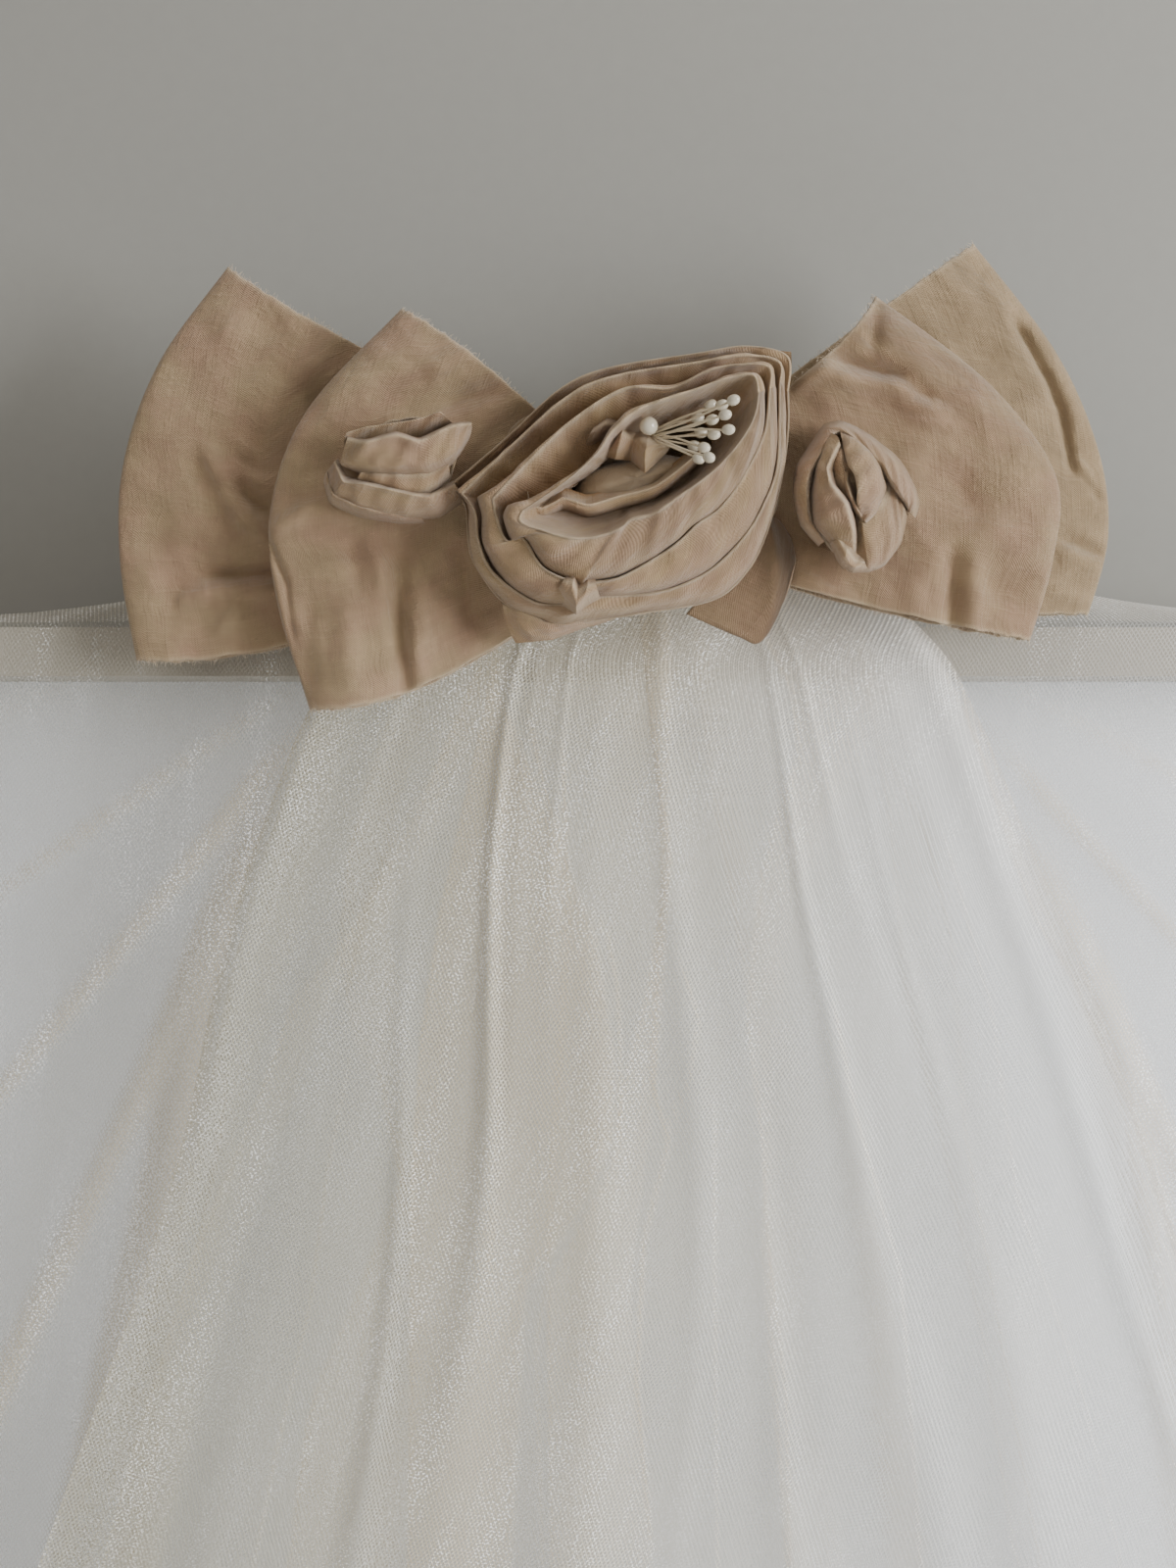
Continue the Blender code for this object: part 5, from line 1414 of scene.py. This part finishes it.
def turn_grid(start, lip, end, half, closed, seed, ripples=1.0):
    """A turn of doubled cloth: up its full outer face, over its soft folded lip and down inside."""
    t = np.linspace(0, 1, OUTER_ROWS)[:, None, None]
    outer = start + (lip - start) * t**1.9
    outer[:, :, 1] = start[:, 1] + (lip[:, 1] - start[:, 1]) * (1 - (1 - t[:, :, 0]) ** 2.3)
    inward = end - lip
    inward[:, 1] = 0
    inward /= np.maximum(np.linalg.norm(inward, axis=1, keepdims=True), 1e-6)
    rounds = []
    for bend in np.linspace(0, math.pi, BEND_ROWS + 1)[1:]:
        forward = np.array((0, half, 0)) * math.sin(bend)
        rounds.append(lip + inward * half * (1 - math.cos(bend)) - forward)
    inside = rounds[-1]
    inner = inside + (end - inside) * t[1:] ** 1.25
    inner[:, :, 1] = inside[:, 1] + (end[:, 1] - inside[:, 1]) * (1 - (1 - t[1:, :, 0]) ** 1.7)
    grid = np.concatenate([outer, np.array(rounds), inner])
    normal = grid_normals(grid, closed)
    rows = np.arange(len(grid))[:, None]
    u, v = lengths(grid, closed)
    u = u[:, :grid.shape[1]]
    soft = ripple(u * 1.1 + 9 * seed, v * 2.2, seed) * 0.5 + 0.35 * ripple(u * 3.1, v * 1.2, seed + 2)
    fade = np.sin(math.pi * np.clip(rows / OUTER_ROWS, 0, 1))
    fade = fade + np.where(rows > OUTER_ROWS + BEND_ROWS + 1, 0.5, 0)
    return grid + normal * (soft * fade * ripples)[:, :, None]


def laid_fold(lines, columns=84, seed=0.0, crisp=0.45):
    """A folded piece of cloth: a surface through a few lines, between smooth and sharply creased."""
    lines = np.array(lines, float)
    across, down = np.linspace(0, 1, columns), np.linspace(0, 1, FOLD_ROWS)
    tables = []
    for sharp in (False, True):
        if sharp:
            at = np.linspace(0, 1, lines.shape[1])
            wide = np.stack([[np.interp(across, at, line[:, k]) for k in range(3)] for line in lines])
            wide = np.moveaxis(wide, 1, 2)
        else:
            wide = np.array([spline(line, across) for line in lines])
        tables.append(spline(wide, down))
    table = tables[0] * (1 - crisp) + tables[1] * crisp
    grid = place(table[:, :, 0], table[:, :, 1], table[:, :, 2])
    u, v = lengths(grid)
    pleats = 0.28 * np.sin(u * 0.9 + 2 * np.sin(v * 0.35 + seed) + seed)
    soft = 0.35 * np.abs(ripple(u * 1.6, v * 1.6, seed)) + 0.2 * ripple(u * 4.0, v * 3.0, seed + 1)
    grid[:, :, 1] += soft
    grid[:, :, 1] += pleats
    return grid


def lip_highlight_and_valley_shade(grid, row, reach, valley_shade=0.0):
    """How near each point is to a lip along one row, which the silk paints as a highlight; below 0 where
    the cloth sinks into a valley, painted as shade.
    """
    rows = np.arange(len(grid))
    near = np.exp(-(((rows - row) / reach) ** 2))
    for valley in (0, len(grid) - 1):
        near = near - valley_shade * np.exp(-(((rows - valley) / VALLEY_REACH) ** 2))
    return dict(lip=np.broadcast_to(near[:, None], grid.shape[:2]))


def heart_grid(x, z, long, short, tilt, back, front):
    """A small gathered oval of satin with soft tucks toward its middle."""
    around = np.linspace(0, 2 * math.pi, 72, endpoint=False)[None, :]
    up = np.linspace(0, 0.995, 20)[:, None]
    size = np.cos(math.pi / 2 * up) * (1 + 0.03 * np.sin(around * 6) * (1 - up))
    lift = np.sin(math.pi / 2 * up)
    turned = math.radians(tilt)
    u, v = long * size * np.cos(around), short * size * np.sin(around)
    at_x = x + u * math.cos(turned) - v * math.sin(turned)
    at_z = z + u * math.sin(turned) + v * math.cos(turned)
    grid = place(at_x, at_z, np.array(front))
    tuck = 0.35 * np.sin(around * 5 + 3 * up) * np.sin(math.pi * up)
    grid[:, :, 1] = back + (front - back) * lift + tuck
    return grid


def add_fold(name, grid, made, closed, *nodes, shift=0.0, thick=0.0, values=None):
    """A folded piece of silk, dressed as a sheet."""
    piece = cloth(name, grid, made, closed=closed, values=values, shift=shift, thick=thick)
    dress_sheet(piece, grid, "silk", "folded", "rose_seat", *nodes, closed=closed)


class VEIL_OT_rose(Operator):
    """Rolled rose with its curl, folds, heart and petal"""

    bl_idname = "veil.rose"
    bl_label = "Rose"

    def execute(self, context):
        sizes, colours = settings()
        half = sizes.lip_half / MM
        silk = raw_silk("rose_silk", ROSE_SILK, colours.silk_tint, FLOWER_SLUBS)
        pale = raw_silk("satin_heart", *HEART_SATIN, 0.3, 0.15)
        columns = 300
        rings = [lip_points(ring, columns, 1.7 * i) for i, ring in enumerate(ROSE_TURNS.values())]
        rings.append(lip_points(ROSE_FLOOR, columns))
        middle = rings[0].mean(axis=0)
        start = middle + (rings[0] - middle) * 0.93
        start[:, 1] = ROSE_BACK
        for i, name in enumerate(ROSE_TURNS):
            end = between_turns(rings[i], rings[i + 1], VALLEY_FLOOR) if i < 3 else rings[4]
            grid = turn_grid(start, rings[i], end, half, True, 1.3 * i + 0.4)
            add_fold(f"{name}_cloth", grid, silk, True, name, shift=40.0 * i,
                     values=lip_highlight_and_valley_shade(grid, LIP_ROW, LIP_REACH, 1.0))
            start = end + np.array((0, 0.4, 0))
        flat = even_line(CURL, 120)
        lip = place(flat[:, 0], flat[:, 1], CURL_DEPTH + 0.5 * np.sin(np.linspace(0, 14, 120)))
        start, end = lip + np.array((0, 9.0, -2.5)), lip + np.array((0, 5.0, 4.0))
        grid = turn_grid(start, lip, end, half, False, 3.0, 0.6)
        add_fold("rose_curl_cloth", grid, silk, False, "rose_curl", shift=250.0,
                 values=lip_highlight_and_valley_shade(grid, LIP_ROW, LIP_REACH, 1.0))
        for i, (name, lines) in enumerate(ROSE_FOLDS.items()):
            grid = laid_fold(lines, seed=i + 1.0, crisp=0.8)
            add_fold(f"{name}_cloth", grid, silk, False, shift=270.0 + 30 * i,
                     values=lip_highlight_and_valley_shade(grid, FOLD_LIP_ROW, FOLD_LIP_REACH, 0.6))
        piece = cloth("rose_heart_cloth", heart_grid(**HEART), pale, closed=True)
        dress(piece, "pale_silk", "rose_heart")
        a, r = np.linspace(0, 1, 40)[None, :], np.linspace(0, 1, 60)
        table = spline(np.array(PETAL, float), r)
        x, z = (sum(e * table[:, i:i + 1] for e, i in zip(three_points(a), (k, k + 2, k + 4)))
                for k in (0, 1))
        grid = place(x, z, np.array(PETAL_DEPTH))
        grid[:, :, 1] += 0.7 * np.sin(a * math.pi) * np.sin(r[:, None] * 9) - 0.3
        # The petal takes the darker copy of the silk: painted shade behind the rose
        dark = raw_silk("petal_silk_in_painted_shade", *PETAL_SILK_IN_PAINTED_SHADE, FLOWER_SLUBS)
        add_fold("rose_petal_cloth", grid, dark, False, "rose_petal", shift=310.0, thick=0.8)
        return {"FINISHED"}


class VEIL_OT_buds(Operator):
    """Two rosebuds, each a rolled outer turn with folds laid inside it"""

    bl_idname = "veil.buds"
    bl_label = "Rosebuds"

    def execute(self, context):
        sizes, colours = settings()
        silk = raw_silk("bud_silk", BUD_SILK, colours.silk_tint, FLOWER_SLUBS)
        angle = np.linspace(0, 360, 150, endpoint=False)
        for i, (name, rings) in enumerate(BUD_RINGS.items()):
            foot, floor = (ring_points(rings[key], angle) for key in ("foot", "floor"))
            lip = swayed(rings["lip"], angle, 0.5, 2.0 + i)
            grid = turn_grid(foot, lip, floor, sizes.lip_half / MM, True, 2.0 + i, 0.7)
            add_fold(f"{name}_wrap_cloth", grid, silk, True, f"{name}_wrap_1", shift=60.0 * i,
                     values=lip_highlight_and_valley_shade(grid, LIP_ROW, LIP_REACH, 1.0))
            nodes = [f"{name}_wrap_2", f"{name}_heart"]
            for k, (part, lines) in enumerate(BUD_FOLDS[name].items()):
                grid = laid_fold(lines, seed=k + 2.0 * i)
                lip = (FOLD_ROWS - 1) * (len(lines) - 2) / (len(lines) - 1)
                add_fold(f"{name}_{part}_cloth", grid, silk, False, *nodes[k:k + 1], shift=80.0 + 25 * k,
                         values=lip_highlight_and_valley_shade(grid, lip, BUD_LIP_REACH, 0.8))
        return {"FINISHED"}


# Stamens

def head_tree():
    """Smooth oval heads on points, each turned along its stem."""
    tree, given = growing_tree("Stamen heads", (("Width", 0.0036), ("Length", 0.0044)))
    ball = node(tree, "GeometryNodeMeshUVSphere", {"Segments": 24, "Rings": 16, "Radius": 0.5})
    smooth = node(tree, "GeometryNodeSetShadeSmooth", {"Geometry": ball.outputs[0]})
    size = node(tree, "ShaderNodeCombineXYZ", {
        0: given.outputs["Width"], 1: given.outputs["Width"], 2: given.outputs["Length"]})
    return put_on_points(tree, given, given.outputs["Geometry"], smooth.outputs[0],
                         facing_away(tree).outputs[0], size.outputs[0])


def stem_grid(start, end, bend, radius):
    """A thin round stem with a slight bend, as a closed grid."""
    t = np.linspace(0, 1, 14)[:, None]
    path = start + (end - start) * t + bend * np.sin(math.pi * t)
    along = np.gradient(path, axis=0)
    along /= np.linalg.norm(along, axis=1, keepdims=True)
    first = np.cross(along, (0.0, 1.0, 0.2))
    first /= np.linalg.norm(first, axis=1, keepdims=True)
    second = np.cross(along, first)
    angle = np.linspace(0, 2 * math.pi, 8, endpoint=False)
    ring = first[:, None] * np.cos(angle)[None, :, None] + second[:, None] * np.sin(angle)[None, :, None]
    return path[:, None] + ring * radius


class VEIL_OT_stamens(Operator):
    """Stamens with pearly heads, and one round pearl"""

    bl_idname = "veil.stamens"
    bl_label = "Stamens and pearl"

    def execute(self, context):
        _, colours = settings()
        lacquer, shader = mottled("pearly_lacquer", (0.22,), 300.0, 3.0, colours.pearl,
                                  (0.66, 0.60, 0.48), (0.18, 0.3))
        shader.inputs["Coat Roughness"].default_value = 0.12
        shader.inputs["Coat Weight"].default_value = 0.6
        cotton, _ = mottled("waxed_thread", (0.5, 0.2), 1500.0, 1.0, (0.56, 0.46, 0.30),
                            (0.68, 0.58, 0.42))
        root = place(*np.array(STAMEN_ROOT))
        heads = np.array([place(*np.array(spot)) for spot in STAMEN_HEADS])
        ways = heads - root
        ways /= np.linalg.norm(ways, axis=1, keepdims=True)
        mesh = pointed_mesh("heads", (heads * MM).tolist(), [], ways)
        piece = grown("stamen_heads", mesh, head_tree(), {
            "Width": HEAD_WIDTH * MM, "Length": HEAD_LENGTH * MM, "Material": lacquer})
        dress(piece, "stamens", "stamens")
        points, faces = [], []
        for i, head in enumerate(heads):
            bend = np.array((0.0, -0.8 + 0.3 * math.sin(i), 0.8 * math.sin(i * 2.1)))
            start = root + np.array((0, 0.5 * math.cos(i * 1.9), 0.9 * math.sin(i * 1.9)))
            grid = stem_grid(start, head - ways[i] * HEAD_INSET, bend, STEM_RADIUS)
            n = grid.shape[1]
            for r in range(len(grid) - 1):
                row = len(points) + r * n
                for c in range(n):
                    d = (c + 1) % n
                    faces.append((row + c, row + n + c, row + n + d, row + d))
            points += (grid.reshape(-1, 3) * MM).tolist()
        mesh = bpy.data.meshes.new("stamen_stems")
        mesh.from_pydata(points, [], faces)
        shape = bmesh.new()
        shape.from_mesh(mesh)
        bmesh.ops.holes_fill(shape, edges=[e for e in shape.edges if e.is_boundary])
        bmesh.ops.recalc_face_normals(shape, faces=shape.faces)
        shape.to_mesh(mesh)
        shape.free()
        mesh.shade_smooth()
        mesh.materials.append(cotton)
        dress(in_scene("stamen_stems", mesh), "stamens")
        mesh = pointed_mesh("pearl_point", [(place(*np.array(PEARL)) * MM).tolist()], [], PEARL_WAY)
        piece = grown("round_pearl", mesh, head_tree(), {
            "Width": PEARL_SIZE * MM, "Length": PEARL_SIZE * MM, "Material": lacquer})
        dress(piece, "stamens", "pearl")
        return {"FINISHED"}


class VEIL_PT_panel(Panel):
    """Lists the veil's pieces"""

    bl_idname = "VEIL_PT_panel"
    bl_label = "Bridal veil"
    bl_space_type = "VIEW_3D"
    bl_region_type = "UI"
    bl_category = "Veil"

    def draw(self, context):
        for piece in PIECES:
            self.layout.operator(piece.bl_idname)
        for group in (context.scene.veil_sizes, context.scene.veil_colours):
            for key in group.__annotations__:
                self.layout.prop(group, key)


PIECES = (
    VEIL_OT_stage, VEIL_OT_rail_and_comb, VEIL_OT_tulle, VEIL_OT_bow, VEIL_OT_rose, VEIL_OT_buds,
    VEIL_OT_stamens,
)
CLASSES = (VeilSizes, VeilColours, *PIECES, VEIL_PT_panel)


def register():
    for made in CLASSES:
        bpy.utils.register_class(made)
    bpy.types.Scene.veil_sizes = PointerProperty(type=VeilSizes)
    bpy.types.Scene.veil_colours = PointerProperty(type=VeilColours)


def unregister():
    del bpy.types.Scene.veil_colours
    del bpy.types.Scene.veil_sizes
    for made in reversed(CLASSES):
        bpy.utils.unregister_class(made)


def main():
    register()
    for piece in PIECES:
        group, name = piece.bl_idname.split(".")
        getattr(getattr(bpy.ops, group), name)()


if __name__ == "__main__":
    main()
